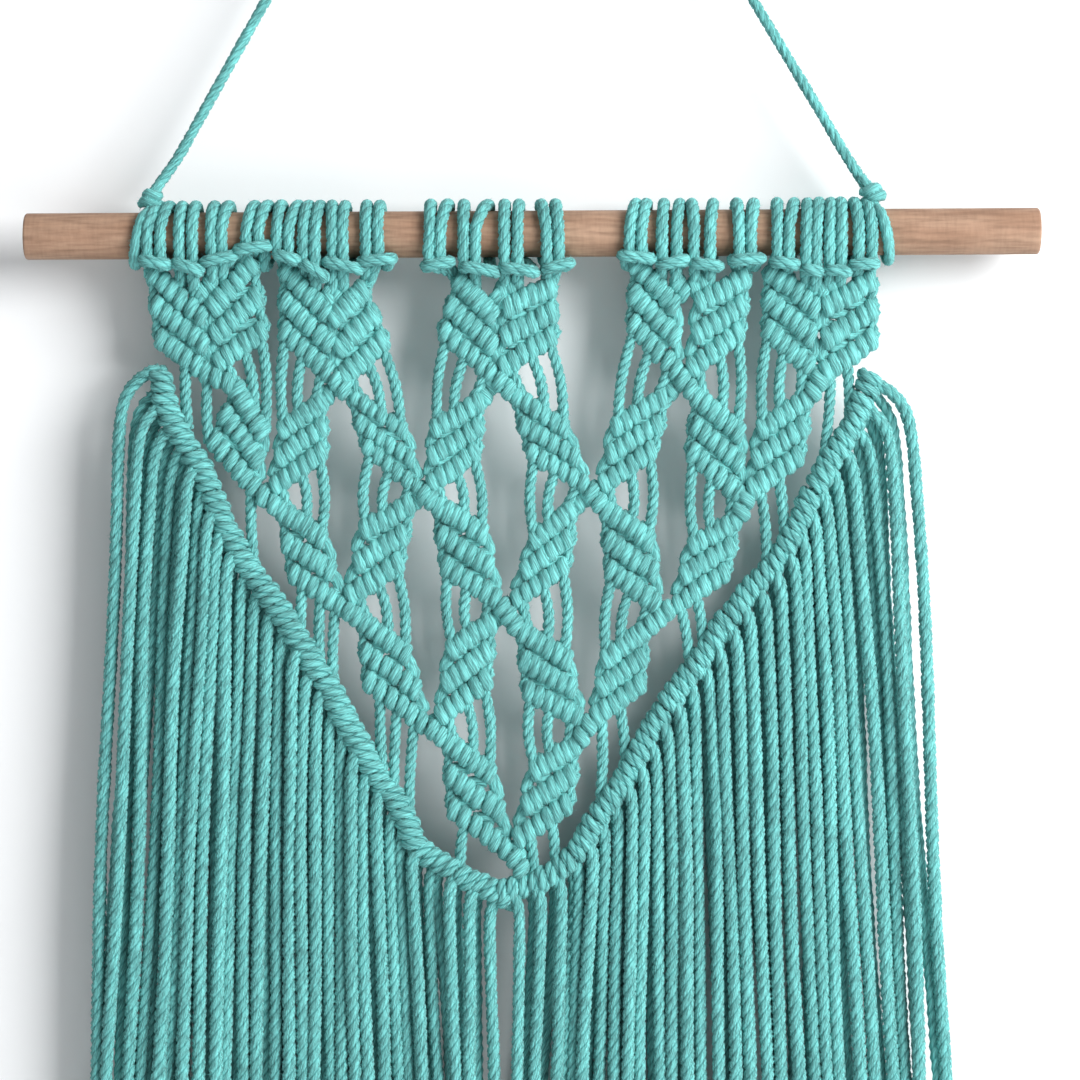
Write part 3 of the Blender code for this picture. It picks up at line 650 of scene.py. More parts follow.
@dataclass
class Lattice:
    """The knotted leaves, their crossings, the loose cords between them and the ties to the border.

    A knot's cord is pressed by flat and wide, and shifted by up to unevenness. It comes to its row at enter
    and leaves it at leave, both as shares of a knot. turn_out and turn_size shape the holding cords' turns.
    bows are how far the three loose cords beside a crossing stand out, and last_run leads to the V's point.
    """

    flat: float = 0.82
    wide: float = 1.02
    unevenness: float = 0.3
    first_wrap: float = 0.25
    wrap_jitter: float = 0.04
    sizes: Pair = (0.95, 1.06)
    enter: float = 0.2
    leave: float = 0.85
    turn_out: float = 0.5
    turn_size: float = 0.92
    depth: float = -2.0
    top_depth: float = -3.6
    filler_rise: float = 1.45
    filler_back: float = 1.6
    core_back: float = 0.3
    crossing_depth: float = -3.4
    crossing_reach: float = 2.0
    back_bar_depth: float = -0.8
    back_bar_reach: float = 1.7
    wrap_pitch: float = 3.9
    meeting_drop: float = 4.0
    bows: Triple = (3.1, 2.8, 1.0)
    tie_depth: float = -1.8
    tie_bow: float = 0.5
    last_run: Triple = (4.6, -0.6, -7.5)

    def __post_init__(self) -> None:
        """Lays out every leaf's rows."""
        self.tiers = [
            [LeafRows(leaf, self.depth, self.top_depth if number == 0 else self.depth) for leaf in tier]
            for number, tier in enumerate(TIERS)
        ]

    def knot(self, weave: Weave, rows: LeafRows, row: int, knot: int, lead: Array) -> None:
        """Ties one double half hitch: the lead, two wraps, and the way out below.

        Args:
            weave: takes the strand.
            rows: the leaf.
            row: the row's number, 0 to 2.
            knot: the knot's number along it, 0 at the leaf's outer end.
            lead: (n, 3) places from where the cord comes.
        """
        line = rows.rows[row]
        chance = weave.chance
        share = knot + self.first_wrap + chance.uniform(-self.wrap_jitter, self.wrap_jitter)
        places, out = line.coil(share / KNOTS, WRAP)
        places = places + chance.uniform(-self.unevenness, self.unevenness, 3)
        path = np.vstack([lead, places, line.below((knot + self.leave) / KNOTS)])
        outward = np.vstack([np.tile(FRONT, (len(lead), 1)), out, -line.up])
        size = np.full(len(path), chance.uniform(*self.sizes))
        weave.strand(path, outward, rows.lay, flat=self.flat, wide=self.wide, swell=size)

    def filler(self, weave: Weave, rows: LeafRows) -> None:
        """The knot above the inner end of a first row, where it hangs from its lark's head.

        Args:
            weave: takes the strand.
            rows: the leaf.
        """
        first = rows.rows[0]
        lift = self.filler_rise * (first.reach + rows.cord_half) * first.up - self.filler_back * FRONT
        raised = Row(first.start + lift, first.end + lift, reach=first.reach)
        places, out = raised.coil(2.15 / KNOTS, WRAP)
        weave.strand(places, out, rows.lay, flat=self.flat, wide=self.wide)

    def outer_turn(self, weave: Weave, above: Row, here: Row, side: Side) -> None:
        """The holding cord's turn at a leaf's outer edge, which shows on a leaf that runs to the left.

        Args:
            weave: takes the strand.
            above: the row that it leaves.
            here: the row that it goes on in.
            side: which way the leaf's rows run.
        """
        shown = side is Side.LEFT
        out_by = self.turn_out if shown else 0.2
        back = np.array([0.0, 0.5 if shown else 1.3, 0.0])
        path = [
            above.at(0.5 / KNOTS) - 0.6 * FRONT,
            above.at(0.02) - out_by * above.along - 0.7 * above.up + back,
            lerp(above.at(0.0), here.at(0.0), 0.5) + 1.4 * here.along + back,
            here.at(0.0) - 0.8 * out_by * here.along + 0.3 * here.up + back,
            here.at(0.5 / KNOTS) - 0.6 * FRONT,
        ]
        weave.strand(path, FRONT, LOOSE, swell=np.full(len(path), self.turn_size))

    def inner_turn(self, above: Row, here: Row) -> Array:
        """Places by which the cord at a leaf's inner edge comes from the row above to the row's last knot."""
        return np.vstack(
            [
                above.at(0.85) - 0.4 * FRONT,
                above.at(1.0) - 0.9 * above.up - 1.0 * FRONT,
                lerp(above.at(1.0), here.at(1.0), 0.5) + 0.3 * here.along - 1.0 * FRONT,
                here.above((2 + self.enter) / KNOTS),
            ]
        )

    def leaf(self, weave: Weave, rows: LeafRows) -> None:
        """Ties a leaf: a core in each row, nine knots, and the turns at both edges.

        Args:
            weave: takes the strands.
            rows: the leaf.
        """
        for row in rows.rows:
            inside = [row.at(share) - self.core_back * FRONT for share in (0.05, 0.35, 0.65, 0.95)]
            weave.strand(inside, FRONT, CORE)
        first = rows.rows[0]
        if rows.top_depth != rows.depth:
            self.filler(weave, rows)
        for knot in range(KNOTS):
            self.knot(weave, rows, 0, knot, first.above((knot + self.enter) / KNOTS)[None])
        for row in (1, 2):
            above, here = rows.rows[row - 1], rows.rows[row]
            self.outer_turn(weave, above, here, rows.leaf.side)
            for knot in (0, 1):
                start = above.below((knot + 1 + self.leave) / KNOTS)
                lead = np.vstack([start, here.above((knot + self.enter) / KNOTS)])
                self.knot(weave, rows, row, knot, lead)
            self.knot(weave, rows, row, 2, self.inner_turn(above, here))

    def crossing(
        self, weave: Weave, front: tuple[Array, Array], back: tuple[Array, Array], lay: Lay
    ) -> None:
        """The bar in front of a crossing and the bar that passes behind it, both coiled.

        Args:
            weave: takes the strands.
            front: start and end of the front bar.
            back: start and end of the bar behind.
            lay: the front coil's cord.
        """
        other = RISING if lay is FALLING else FALLING
        for (start, end), cord, y, reach in (
            (front, lay, self.crossing_depth, self.crossing_reach),
            (back, other, self.back_bar_depth, self.back_bar_reach),
        ):
            shift = np.array([0.0, y - self.depth, 0.0])
            row = Row(start + shift, end + shift, reach=reach)
            wraps = max(2, round(row.length / self.wrap_pitch))
            places, out = row.coil(0.5 / wraps, 1.0 / wraps, wraps)
            weave.strand(places, out, cord, flat=self.flat, wide=self.wide)
            weave.strand([row.at(share) for share in (0.0, 0.5, 1.0)], FRONT, CORE)

    def loose_cords(self, weave: Weave, upper: LeafRows, lower: LeafRows, side: int) -> None:
        """The working cords that hang from a leaf's last row to the first row of the leaf below.

        Args:
            weave: takes the strands.
            upper: the leaf above.
            lower: the leaf below.
            side: -1 to the left of the crossing, 1 to its right.
        """
        for knot, bow in enumerate(self.bows):
            start, end = upper.rows[2], lower.rows[0]
            top = start.at((knot + 0.6) / KNOTS)
            foot = end.at((2 - knot + 0.4) / KNOTS)
            out = np.array([side * bow, -0.3, 0.0])
            back = np.array([0.0, 0.6, 0.0])
            leave, enter = top - 1.6 * start.up, foot + 1.6 * end.up
            path = [top + back, leave + 0.3 * out, lerp(top, foot, 0.38) + out]
            path += [lerp(top, foot, 0.64) + out, enter + 0.3 * out, foot + back]
            weave.strand(path, FRONT, LOOSE)

    def tie(self, weave: Weave, tie: Tie) -> None:
        """A cord from the lattice's edge on to the border, with a slight bow outwards.

        Args:
            weave: takes the strand.
            tie: its places.
        """
        start = np.array([tie.x, self.tie_depth, -tie.drop])
        end = np.array([tie.end_x, self.tie_depth - 0.4, -tie.end_drop])
        bow = math.copysign(self.tie_bow, tie.x) * np.array([1.0, 0.0, 0.0])
        path = [start + 1.5 * unit(start - end), start, lerp(start, end, 0.5) + bow, end]
        weave.strand(path, FRONT, LOOSE)

    def build(self, cotton: bpy.types.Material) -> list[bpy.types.Object]:
        """Makes one piece for each tier and one for the ties.

        Args:
            cotton: the cord's finish.

        Returns:
            The pieces.
        """
        pieces = []
        for number, tier in enumerate(self.tiers):
            weave = Weave(f"leaves_{number + 1}", seed=10 + number)
            below = self.tiers[number + 1] if number + 1 < len(self.tiers) else []
            for rows in tier:
                self.leaf(weave, rows)
            last = len(tier) // 2 - 1
            for k in range(last + 1):
                left, right = tier[2 * k], tier[2 * k + 1]
                next_right = below[2 * k] if 2 * k < len(below) else None
                next_left = below[2 * k - 1] if k > 0 else None
                meeting = lerp(left.rows[2].end, right.rows[2].end, 0.5) + self.meeting_drop * DOWN
                if not below:
                    meeting = left.rows[2].end + self.last_run
                falling = (left.rows[2].end, next_right.rows[0].start if next_right else meeting)
                climbing = (right.rows[2].end, next_left.rows[0].start if next_left else meeting)
                if k < last or number == len(self.tiers) - 1:
                    self.crossing(weave, falling, climbing, FALLING)
                else:
                    self.crossing(weave, climbing, falling, RISING)
                if next_left:
                    self.loose_cords(weave, left, next_left, -1)
                if next_right:
                    self.loose_cords(weave, right, next_right, 1)
            pieces.append(weave.build(cotton))
        weave = Weave("ties", seed=20)
        for tie in TIES:
            self.tie(weave, tie)
        pieces.append(weave.build(cotton))
        return pieces


@dataclass
class Dowel:
    """The wooden rod.

    It slopes by slope and lies lift higher than the table heights count from. edge is the radius of its
    softened ends, and end_face and end_run set the rings of its ends apart from the rest.
    """

    radius: float = 8.0
    length: float = 350.0
    centre_x: float = 10.0
    slope: float = 0.0055
    lift: float = 0.4
    edge: float = 1.0
    end_face: float = 2.5
    end_run: float = 12.0
    rings: int = 40
    sides: int = 64

    def axis(self, x: float | Array) -> float | Array:
        """Height of the sloping axis at x."""
        return self.lift + self.slope * (x - self.centre_x)

    def build(self, wood: bpy.types.Material) -> bpy.types.Object:
        """A closed lathe: rings of radius * (-cos(turn), sin(turn)) along the axis, drawn in at the ends.

        Args:
            wood: the rod's finish.

        Returns:
            The piece.
        """
        bend = np.radians(np.linspace(90, 0, 6))
        inset = np.append(0.0, self.edge * (1 - np.sin(bend)))
        cut = self.radius - self.edge + np.append(-self.end_face, self.edge * np.cos(bend))
        middle = np.linspace(self.end_run, self.length - self.end_run, self.rings)
        along = np.concatenate([inset, middle, self.length - inset[::-1]])
        radius = np.concatenate([cut, np.full(self.rings, self.radius), cut[::-1]])
        turn = FULL_TURN * np.arange(self.sides) / self.sides
        x = self.centre_x - self.length / 2 + along
        ring = np.stack(
            [
                np.broadcast_to(x[:, None], (len(x), self.sides)),
                -radius[:, None] * np.cos(turn),
                radius[:, None] * np.sin(turn) + self.axis(x)[:, None],
            ],
            axis=-1,
        )
        first = np.arange(len(x) * self.sides).reshape(len(x), self.sides)
        after = np.roll(first, -1, axis=1)
        quads = np.stack([first[:-1], first[1:], after[1:], after[:-1]], -1).reshape(-1, 4)
        faces = quads.tolist() + [first[0].tolist(), first[-1][::-1].tolist()]
        mesh = bpy.data.meshes.new("dowel_wood")
        mesh.from_pydata(to_world(ring.reshape(-1, 3)).tolist(), [], faces)
        mesh.polygons.foreach_set("use_smooth", np.ones(len(faces), bool))
        mesh.set_sharp_from_angle(angle=math.radians(40))
        return add_piece(mesh, wood)


@dataclass
class LarksHeads:
    """The loops that hold the work on the dowel: two legs up its front, and a bar across the legs' feet.

    radius is that of a leg's middle round the dowel's axis. The y values are depths: of the leaf's end, of a
    leg's foot, of the bar's two ends and of the bar. tuck gives how far the ends' last three places lie in
    from the bar's ends, and leaf_edge how near a leaf's corner a leg may meet it, as a share of its row.
    """

    radius: float = 10.1
    leaf_y: float = 0.0
    foot_y: float = -8.0
    end_y: float = -6.0
    bar_y: float = -11.2
    under_z: float = -10.8
    tuck: Triple = (2.4, 1.4, 0.6)
    leaf_edge: float = 0.06
    lay: Lay = Lay(radius=2.25, twist=13.0, depth=0.17, crease=0.85, step=1.15, fibre_turn=0.1)

    def leg(
        self, top_x: float, low_x: float, end: Pair, inward: float, foot: Array, axis: float
    ) -> tuple[Array, Array]:
        """Half a lark's head, from the leaf up the front, over the top, down the back and under to the bar.

        On the dowel a place lies at radius * (-cos(angle) to the front, sin(angle) up) from the axis.

        Args:
            top_x: x over the dowel's top.
            low_x: x at the foot, behind the bar.
            end: (x, drop) of the bar's end.
            inward: -1 or 1, the way along x to the bar's middle.
            foot: where the leg meets the leaf's first row.
            axis: height of the dowel's axis.

        Returns:
            (n, 3) places and (n, 3) outward directions.
        """
        angles = np.radians([2, 28, 58, 90, 122, 152, 182, 212, 240])
        share = np.clip(angles / (0.5 * math.pi), 0, 1)
        back = np.clip((angles - math.pi) / math.pi, 0, 1)
        tucked = [end[0] + tuck * inward for tuck in self.tuck]
        x = low_x + share * (top_x - low_x) + back * (tucked[0] - top_x)
        round_dowel = np.column_stack([x, -self.radius * np.cos(angles), axis + self.radius * np.sin(angles)])
        outward = np.column_stack([np.zeros(len(angles)), -np.cos(angles), np.sin(angles)])
        start = [
            [foot[0], self.leaf_y, foot[2]],
            [lerp(foot[0], low_x, 0.4), self.leaf_y - 1.2, foot[2] + 3.6],
            [low_x, self.foot_y, -end[1] + 1.4],
        ]
        finish = [
            [tucked[0], -1.5, self.under_z],
            [tucked[1], self.end_y, -end[1] + 0.4],
            [tucked[2], self.end_y - 3.2, -end[1]],
        ]
        places = np.vstack([start, round_dowel, finish])
        return places, np.vstack([np.tile(FRONT, (3, 1)), outward, np.tile(FRONT, (3, 1))])

    def loop(self, weave: Weave, hitch: Hitch, rows: LeafRows, dowel: Dowel) -> None:
        """One lark's head in one run: the left leg, the bar in front, and the right leg back to the leaf.

        Args:
            weave: takes the strand.
            hitch: its place.
            rows: the leaf that hangs from it.
            dowel: the rod.
        """
        row = rows.rows[0]
        low, high = sorted((row.start, row.end), key=lambda place: place[0])
        halves = []
        for (top_x, low_x), end, inward in (
            (hitch.left_leg, hitch.bar_left, 1.0),
            (hitch.right_leg, hitch.bar_right, -1.0),
        ):
            share = np.clip((low_x - low[0]) / (high[0] - low[0]), self.leaf_edge, 1 - self.leaf_edge)
            halves.append(self.leg(top_x, low_x, end, inward, lerp(low, high, share), dowel.axis(low_x)))
        (left, left_out), (right, right_out) = halves
        across = [lerp(left[-1], right[-1], share) for share in (0.22, 0.5, 0.78)]
        front_bar = np.array([[x, self.bar_y, z] for x, _, z in across])
        path = np.vstack([left, front_bar, right[::-1]])
        weave.strand(path, np.vstack([left_out, np.tile(FRONT, (3, 1)), right_out[::-1]]), self.lay)

    def build(self, cotton: bpy.types.Material, lattice: Lattice, dowel: Dowel) -> bpy.types.Object:
        """Makes the twenty loops as one piece.

        Args:
            cotton: the cord's finish.
            lattice: the leaves.
            dowel: the rod.

        Returns:
            The piece.
        """
        weave = Weave("larks_heads", seed=30)
        for number, hitch in enumerate(HITCHES):
            self.loop(weave, hitch, lattice.tiers[0][number // 2], dowel)
        return weave.build(cotton)


@dataclass
class FringeArm:
    """One arm of the border with its strands in two layers.

    out is -1 where the strands fall away to the left and 1 to the right. line is the bar's, and outer_x and
    inner_x are where the first and the last strand hang at the drop spread_drop. lone_gap sets the first one
    apart there, and first_rise moves its root off the bar's end. arcs holds, for the outermost strands, how
    far each swings out from its root and over which drop, and shoulder the same for the others. A share
    back_share of the front strands stands set_back further behind, and a strand is thicker by fluff at its
    foot.
    """

    name: str
    line: tuple[Pair, ...]
    outer_x: float
    inner_x: float
    out: int
    node: str
    lone_gap: float
    first_rise: Pair
    arcs: tuple[Pair, ...] = ((13.5, 5.5), (9.5, 5.0), (7.0, 4.5), (5.0, 4.0))
    shoulder: Pair = (3.6, 3.0)
    strands: int = 28
    wrap_pitch: float = 3.75
    bar_y: float = -2.8
    bar_reach: float = 2.75
    bar_unevenness: float = 0.45
    front_y: float = -4.4
    front_unevenness: float = 1.1
    back_share: float = 0.32
    set_back: float = 2.6
    back_y: float = 0.4
    back_unevenness: float = 2.4
    bottom: float = 430.0
    bottom_unevenness: float = 2.5
    spread_drop: float = 291.0
    settled: float = 60.0
    sway: float = 1.25
    fluff: float = 0.16
    thickness: Pair = (0.96, 1.06)
    front_lay: Lay = Lay(radius=2.3, twist=13.0, depth=0.20, crease=0.88, step=1.45, fibre_turn=0.2)
    back_lay: Lay = Lay(radius=2.25, twist=12.2, depth=0.20, step=1.9, ply_points=2)

    def along_bar(self, count: int) -> Array:
        """The bar's line in even steps.

        Args:
            count: how many steps.

        Returns:
            (count + 1, 2) places, as (x, drop).
        """
        flat = np.column_stack([np.array(self.line), np.zeros(len(self.line))])
        length = run_length(smooth(flat, 1.0))[-1]
        return smooth(flat, length / count)[:, :2]

    def strand(self, weave: Weave, root: Array, y: float, bottom_x: float, arc: Pair, lay: Lay) -> None:
        """A hanging strand.

        With d the drop below its root, x = root + out * swing * (1 - exp(-d / fall)) + drift * d / spread,
        and a slight sway of two slow sines. Its depth sways likewise.

        Args:
            weave: takes the strand.
            root: (x, drop) on the bar.
            y: depth of the strand.
            bottom_x: x at the spread drop.
            arc: swing and fall.
            lay: its cord.
        """
        chance = weave.chance
        swing, fall = arc
        end = self.bottom - root[1] + chance.uniform(-self.bottom_unevenness, self.bottom_unevenness)
        first = [0.0, 1.5, 4.0, 8.0, 14.0, 24.0, 38.0]
        drops = np.concatenate([first, np.arange(56.0, end - 6, 20.0), [end]])
        out = self.out * swing * (1 - np.exp(-drops / fall))
        drift = bottom_x - root[0] - self.out * swing
        grown = np.clip(drops / self.settled, 0, 1)
        waves = chance.uniform(0, FULL_TURN, 4)
        rock = 0.4 * np.sin(drops / 29.0 + waves[0]) + 0.6 * np.sin(drops / 77.0 + waves[1])
        x = root[0] + out + drift * drops / (self.spread_drop - root[1] + 30.0) + self.sway * grown * rock
        depth = y + grown * (0.6 * np.sin(drops / 57.0 + waves[2]) + 0.4 * np.sin(drops / 27.0 + waves[3]))
        depth[:3] = self.bar_y + 1.2, lerp(self.bar_y, y, 0.4), y - 0.2
        swell = chance.uniform(*self.thickness) * (1 + self.fluff * drops / self.bottom)
        swell[0] = 0.8
        weave.strand(np.column_stack([x, depth, -(root[1] + drops)]), FRONT, lay, swell=swell)

    def bar(self, weave: Weave) -> None:
        """The border's row of double half hitches, two wraps to each knot, round a core.

        Args:
            weave: takes the strands.
        """
        chance = weave.chance
        length = float(run_length(self.along_bar(200))[-1])
        line = self.along_bar(round(length / (2 * self.wrap_pitch)))
        for a, b in zip(line[:-1], line[1:]):
            shift = chance.uniform(-self.bar_unevenness, self.bar_unevenness, 3)
            start, end = (np.array([place[0], self.bar_y, -place[1]]) + shift for place in (a, b))
            row = Row(start, end, -self.out, self.bar_reach * chance.uniform(0.90, 1.10))
            places, out = row.coil(0.25 + chance.uniform(-0.05, 0.05), 0.5)
            weave.strand(places, out, BORDER, flat=0.85)
        core = np.array([[x, self.bar_y, -drop] for x, drop in line[1:-1]])
        weave.strand(core, FRONT, LOOSE)

    def arc(self, number: int) -> Pair:
        """Swing and fall of a strand by its number from the outside."""
        return self.arcs[number] if number < len(self.arcs) else self.shoulder

    def build(self, cotton: bpy.types.Material) -> list[bpy.types.Object]:
        """Makes the bar, the front strands and the back strands as three pieces.

        Args:
            cotton: the cord's finish.

        Returns:
            The pieces.
        """
        seed = 40 if self.out < 0 else 50
        border = Weave("border_" + self.name, seed=seed)
        front = Weave("strands_front_" + self.name, seed=seed + 1)
        back = Weave("strands_back_" + self.name, seed=seed + 2)
        self.bar(border)
        width = self.inner_x - self.outer_x
        roots = self.along_bar(self.strands)
        pitch = (width - self.lone_gap) / self.strands
        for number in range(self.strands):
            gap = self.lone_gap * (number > 0)
            bottom = self.outer_x + gap + (number + 0.4) * pitch + front.chance.uniform(-1.0, 1.0)
            depth = self.front_y + front.chance.uniform(-self.front_unevenness, self.front_unevenness)
            depth += self.set_back * (front.chance.uniform() < self.back_share)
            root = lerp(roots[number], roots[number + 1], 0.4) if number else roots[0] - self.first_rise
            self.strand(front, root, depth, bottom, self.arc(number), self.front_lay)
        pitch = width / self.strands
        for number in range(self.strands - 1):
            bottom = self.outer_x + (number + 0.9) * pitch + back.chance.uniform(-2.0, 2.0)
            depth = self.back_y + back.chance.uniform(0, self.back_unevenness)
            root = lerp(roots[number], roots[number + 1], 0.7)
            self.strand(back, root, depth, bottom, self.arc(number + 1), self.back_lay)
        return [weave.build(cotton) for weave in (border, front, back)]


@dataclass
class Hanger:
    """The tie of the hanging cord at one side: a slanting loop round the dowel, a small knot and a loose end.

    knot, tail and entry are (x, height) places: of the knot, of the loose end, and of the hanging cord's end.
    low_x is x at the loop's lowest place, radius its distance from the dowel's axis, and knot_y the depth of
    the knot.
    """

    name: str
    node: str
    knot: Pair
    low_x: float
    tail: Pair
    entry: Pair
    radius: float = 9.7
    knot_y: float = -3.4
    knot_half: float = 2.7
    knot_reach: float = 1.9
    lay: Lay = Lay(radius=2.1, twist=12.5, depth=0.14, crease=0.6, step=1.1, fibre_turn=0.1, fuzz=2.5)

    def build(self, cotton: bpy.types.Material, dowel: Dowel) -> bpy.types.Object:
        """Makes the loop, the knot's two wraps and the loose end.

        The loop lies at radius * (-cos(angle) to the front, sin(angle) up) from the axis, and its x goes from
        the knot's to low_x and back.

        Args:
            cotton: the cord's finish.
            dowel: the rod.

        Returns:
            The piece.
        """
        weave = Weave(self.name, seed=60 if self.low_x < 0 else 61)
        x, height = self.knot
        angles = np.radians([62, 38, 12, -16, -44, -72, -100, -130, -160, -190, -220, -248])
        share = (angles[0] - angles) / (angles[0] - angles[-1])
        share = np.sin(np.clip(share, 0, 1) * math.pi) ** 0.7
        axis = dowel.axis(self.low_x)
        ring = np.column_stack(
            [x + share * (self.low_x - x), -self.radius * np.cos(angles), axis + self.radius * np.sin(angles)]
        )
        around = np.column_stack([np.zeros(len(angles)), -np.cos(angles), np.sin(angles)])
        middle = np.array([x, self.knot_y, height])
        path = np.vstack([middle + [0, 0.6, 0.6], ring, middle + [0, 3.0, 0.4]])
        weave.strand(path, np.vstack([FRONT, around, FRONT]), self.lay)
        entry = np.array([self.entry[0], 0.0, self.entry[1]])
        weave.strand([middle, lerp(middle, entry, 0.5) + 0.3 * FRONT, entry], FRONT, self.lay)
        half = self.knot_half * unit((entry - middle) * (1.0, 0.0, 1.0))
        row = Row(middle - half, middle + half, reach=self.knot_reach, straight=0.2)
        places, outs = row.coil(0.24, 0.5)
        weave.strand(places, outs, self.lay, flat=0.9)
        start = middle + [math.copysign(1.5, self.low_x), -1.0, 0.8]
        end = np.array([self.tail[0], self.knot_y - 0.6, self.tail[1]])
        path = [start, middle - [0, 1.6, 0], lerp(middle, end, 0.6), end]
        weave.strand(path, FRONT, self.lay, swell=np.array([0.9, 0.95, 0.85, 0.6]))
        return weave.build(cotton)


@dataclass
class HangingCord:
    """The cord by which the dowel hangs, over the hook; step is the distance between its route's places."""

    step: float = 14.0
    lay: Lay = Lay(radius=2.0, twist=11.0, depth=0.22, step=1.1)

    def build(self, cotton: bpy.types.Material) -> bpy.types.Object:
        """Makes the cord; its length is worked out but not used.

        Args:
            cotton: the cord's finish.

        Returns:
            The piece.
        """
        route = smooth(np.array([(x, 0.0, height) for x, height in HANGING_ROUTE]), self.step)
        weave = Weave("hanging_cord_rope", seed=70)
        weave.strand(route, FRONT, self.lay)
        made = weave.build(cotton)
        path = to_world(smooth(route, 2.0))
        float(run_length(path)[-1])
        return made


@dataclass
class Stage:
    """The floor and the wall behind the hanging, in metres."""

    floor_z: float = -0.78
    wall_y: float = 0.0205
    half: float = 3.0
    wall_top: float = 1.3
    white: Colour = (0.84, 0.85, 0.86, 1.0)

    def build(self) -> None:
        """Makes both: rectangles with corners in units of half, from the wall's foot."""
        for name, corners in (
            ("floor", [(-1, -1, 0), (1, -1, 0), (1, 0, 0), (-1, 0, 0)]),
            ("wall", [(-1, 0, 0), (1, 0, 0), (1, 0, self.wall_top), (-1, 0, self.wall_top)]),
        ):
            mesh = bpy.data.meshes.new(name)
            places = np.array(corners) * self.half + (0.0, self.wall_y, self.floor_z)
            mesh.from_pydata(places.tolist(), [], [(0, 1, 2, 3)])
            mesh.materials.append(self.paint(name))
            made = bpy.data.objects.new(name, mesh)
            bpy.context.scene.collection.objects.link(made)

    def paint(self, name: str) -> bpy.types.Material:
        """Matt white paint, seen from its front only, so that views from behind look through it.

        Args:
            name: the stage piece's.

        Returns:
            The material.
        """
        material, graph, shader = new_material(name + "_paint")
        nodes, links = graph.tree.nodes, graph.tree.links
        shader.inputs["Base Color"].default_value = self.white
        shader.inputs["Roughness"].default_value = 0.9
        side = nodes.new("ShaderNodeNewGeometry")
        clear = nodes.new("ShaderNodeBsdfTransparent")
        mix = nodes.new("ShaderNodeMixShader")
        links.new(side.outputs["Backfacing"], mix.inputs[0])
        links.new(shader.outputs[0], mix.inputs[1])
        links.new(clear.outputs[0], mix.inputs[2])
        links.new(mix.outputs[0], nodes["Material Output"].inputs["Surface"])
        return material


class Graph:
    """Adds and joins nodes in one node tree."""

    def __init__(self, tree: bpy.types.NodeTree) -> None:
        """Keeps the tree."""
        self.tree = tree

    def feed(self, socket: bpy.types.NodeSocket, value: object) -> None:
        """Gives a socket its value, or joins another node's socket to it."""
        if isinstance(value, bpy.types.NodeSocket):
            self.tree.links.new(value, socket)
        else:
            socket.default_value = value

    def add(self, kind: str, settings: dict[str, str] | None = None, **inputs: object) -> bpy.types.Node:
        """Adds a node.

        Args:
            kind: the node's type.
            settings: properties to set on it.
            **inputs: what goes into its sockets, a value or another node's socket; a name's underscores
                stand for spaces, and input_0 is the first socket.

        Returns:
            The node.
        """
        node = self.tree.nodes.new(kind)
        for name, value in (settings or {}).items():
            setattr(node, name, value)
        for name, value in inputs.items():
            number = name.removeprefix("input_")
            self.feed(node.inputs[int(number) if number.isdigit() else name.replace("_", " ")], value)
        return node

    def math(self, operation: str, a: object, b: object = 0.0) -> bpy.types.NodeSocket:
        """The result of a sum on one or two values."""
        return self.add("ShaderNodeMath", {"operation": operation}, input_0=a, input_1=b).outputs[0]

    def noise(self, vector: object, scale: float, detail: float) -> bpy.types.NodeSocket:
        """A noise value from 0 to 1."""
        return self.add("ShaderNodeTexNoise", None, Vector=vector, Scale=scale, Detail=detail).outputs["Fac"]

    def span(self, value: object, low: float, high: float, start: float, end: float) -> bpy.types.NodeSocket:
        """A value from low to high laid over start to end, held at both."""
        node = self.add(
            "ShaderNodeMapRange", None, Value=value, From_Min=low, From_Max=high, To_Min=start, To_Max=end
        )
        return node.outputs["Result"]

    def mix(self, factor: object, a: object, b: object) -> bpy.types.NodeSocket:
        """A colour between two.

        Args:
            factor: 0 for a, 1 for b.
            a: the first colour.
            b: the second colour.

        Returns:
            The mixed colour's socket.
        """
        node = self.add("ShaderNodeMix", {"data_type": "RGBA"})
        for name, value in (("Factor_Float", factor), ("A_Color", a), ("B_Color", b)):
            self.feed(next(entry for entry in node.inputs if entry.identifier == name), value)
        return next(entry for entry in node.outputs if entry.identifier == "Result_Color")

    def scale(self, colour: object, factor: object) -> bpy.types.NodeSocket:
        """A colour made brighter or darker."""
        node = self.add("ShaderNodeVectorMath", {"operation": "SCALE"}, input_0=colour, Scale=factor)
        return node.outputs[0]

    def relief(self, shader: bpy.types.Node, made: bpy.types.Node, strength: float, size: float) -> None:
        """Joins a group's colour to the shader, and its height through a bump.

        Args:
            shader: the material's Principled shader.
            made: the group's node.
            strength: the bump's.
            size: the bump's height in metres.
        """
        height = made.outputs["Height"]
        bump = self.add("ShaderNodeBump", None, Strength=strength, Distance=size, Height=height)
        self.feed(shader.inputs["Base Color"], made.outputs["Colour"])
        self.feed(shader.inputs["Normal"], bump.outputs["Normal"])


def new_material(name: str) -> tuple[bpy.types.Material, Graph, bpy.types.Node]:
    """Starts a material.

    Args:
        name: its name.

    Returns:
        The material, its graph and its Principled shader.
    """
    material = bpy.data.materials.new(name)
    material.use_nodes = True
    return material, Graph(material.node_tree), material.node_tree.nodes["Principled BSDF"]


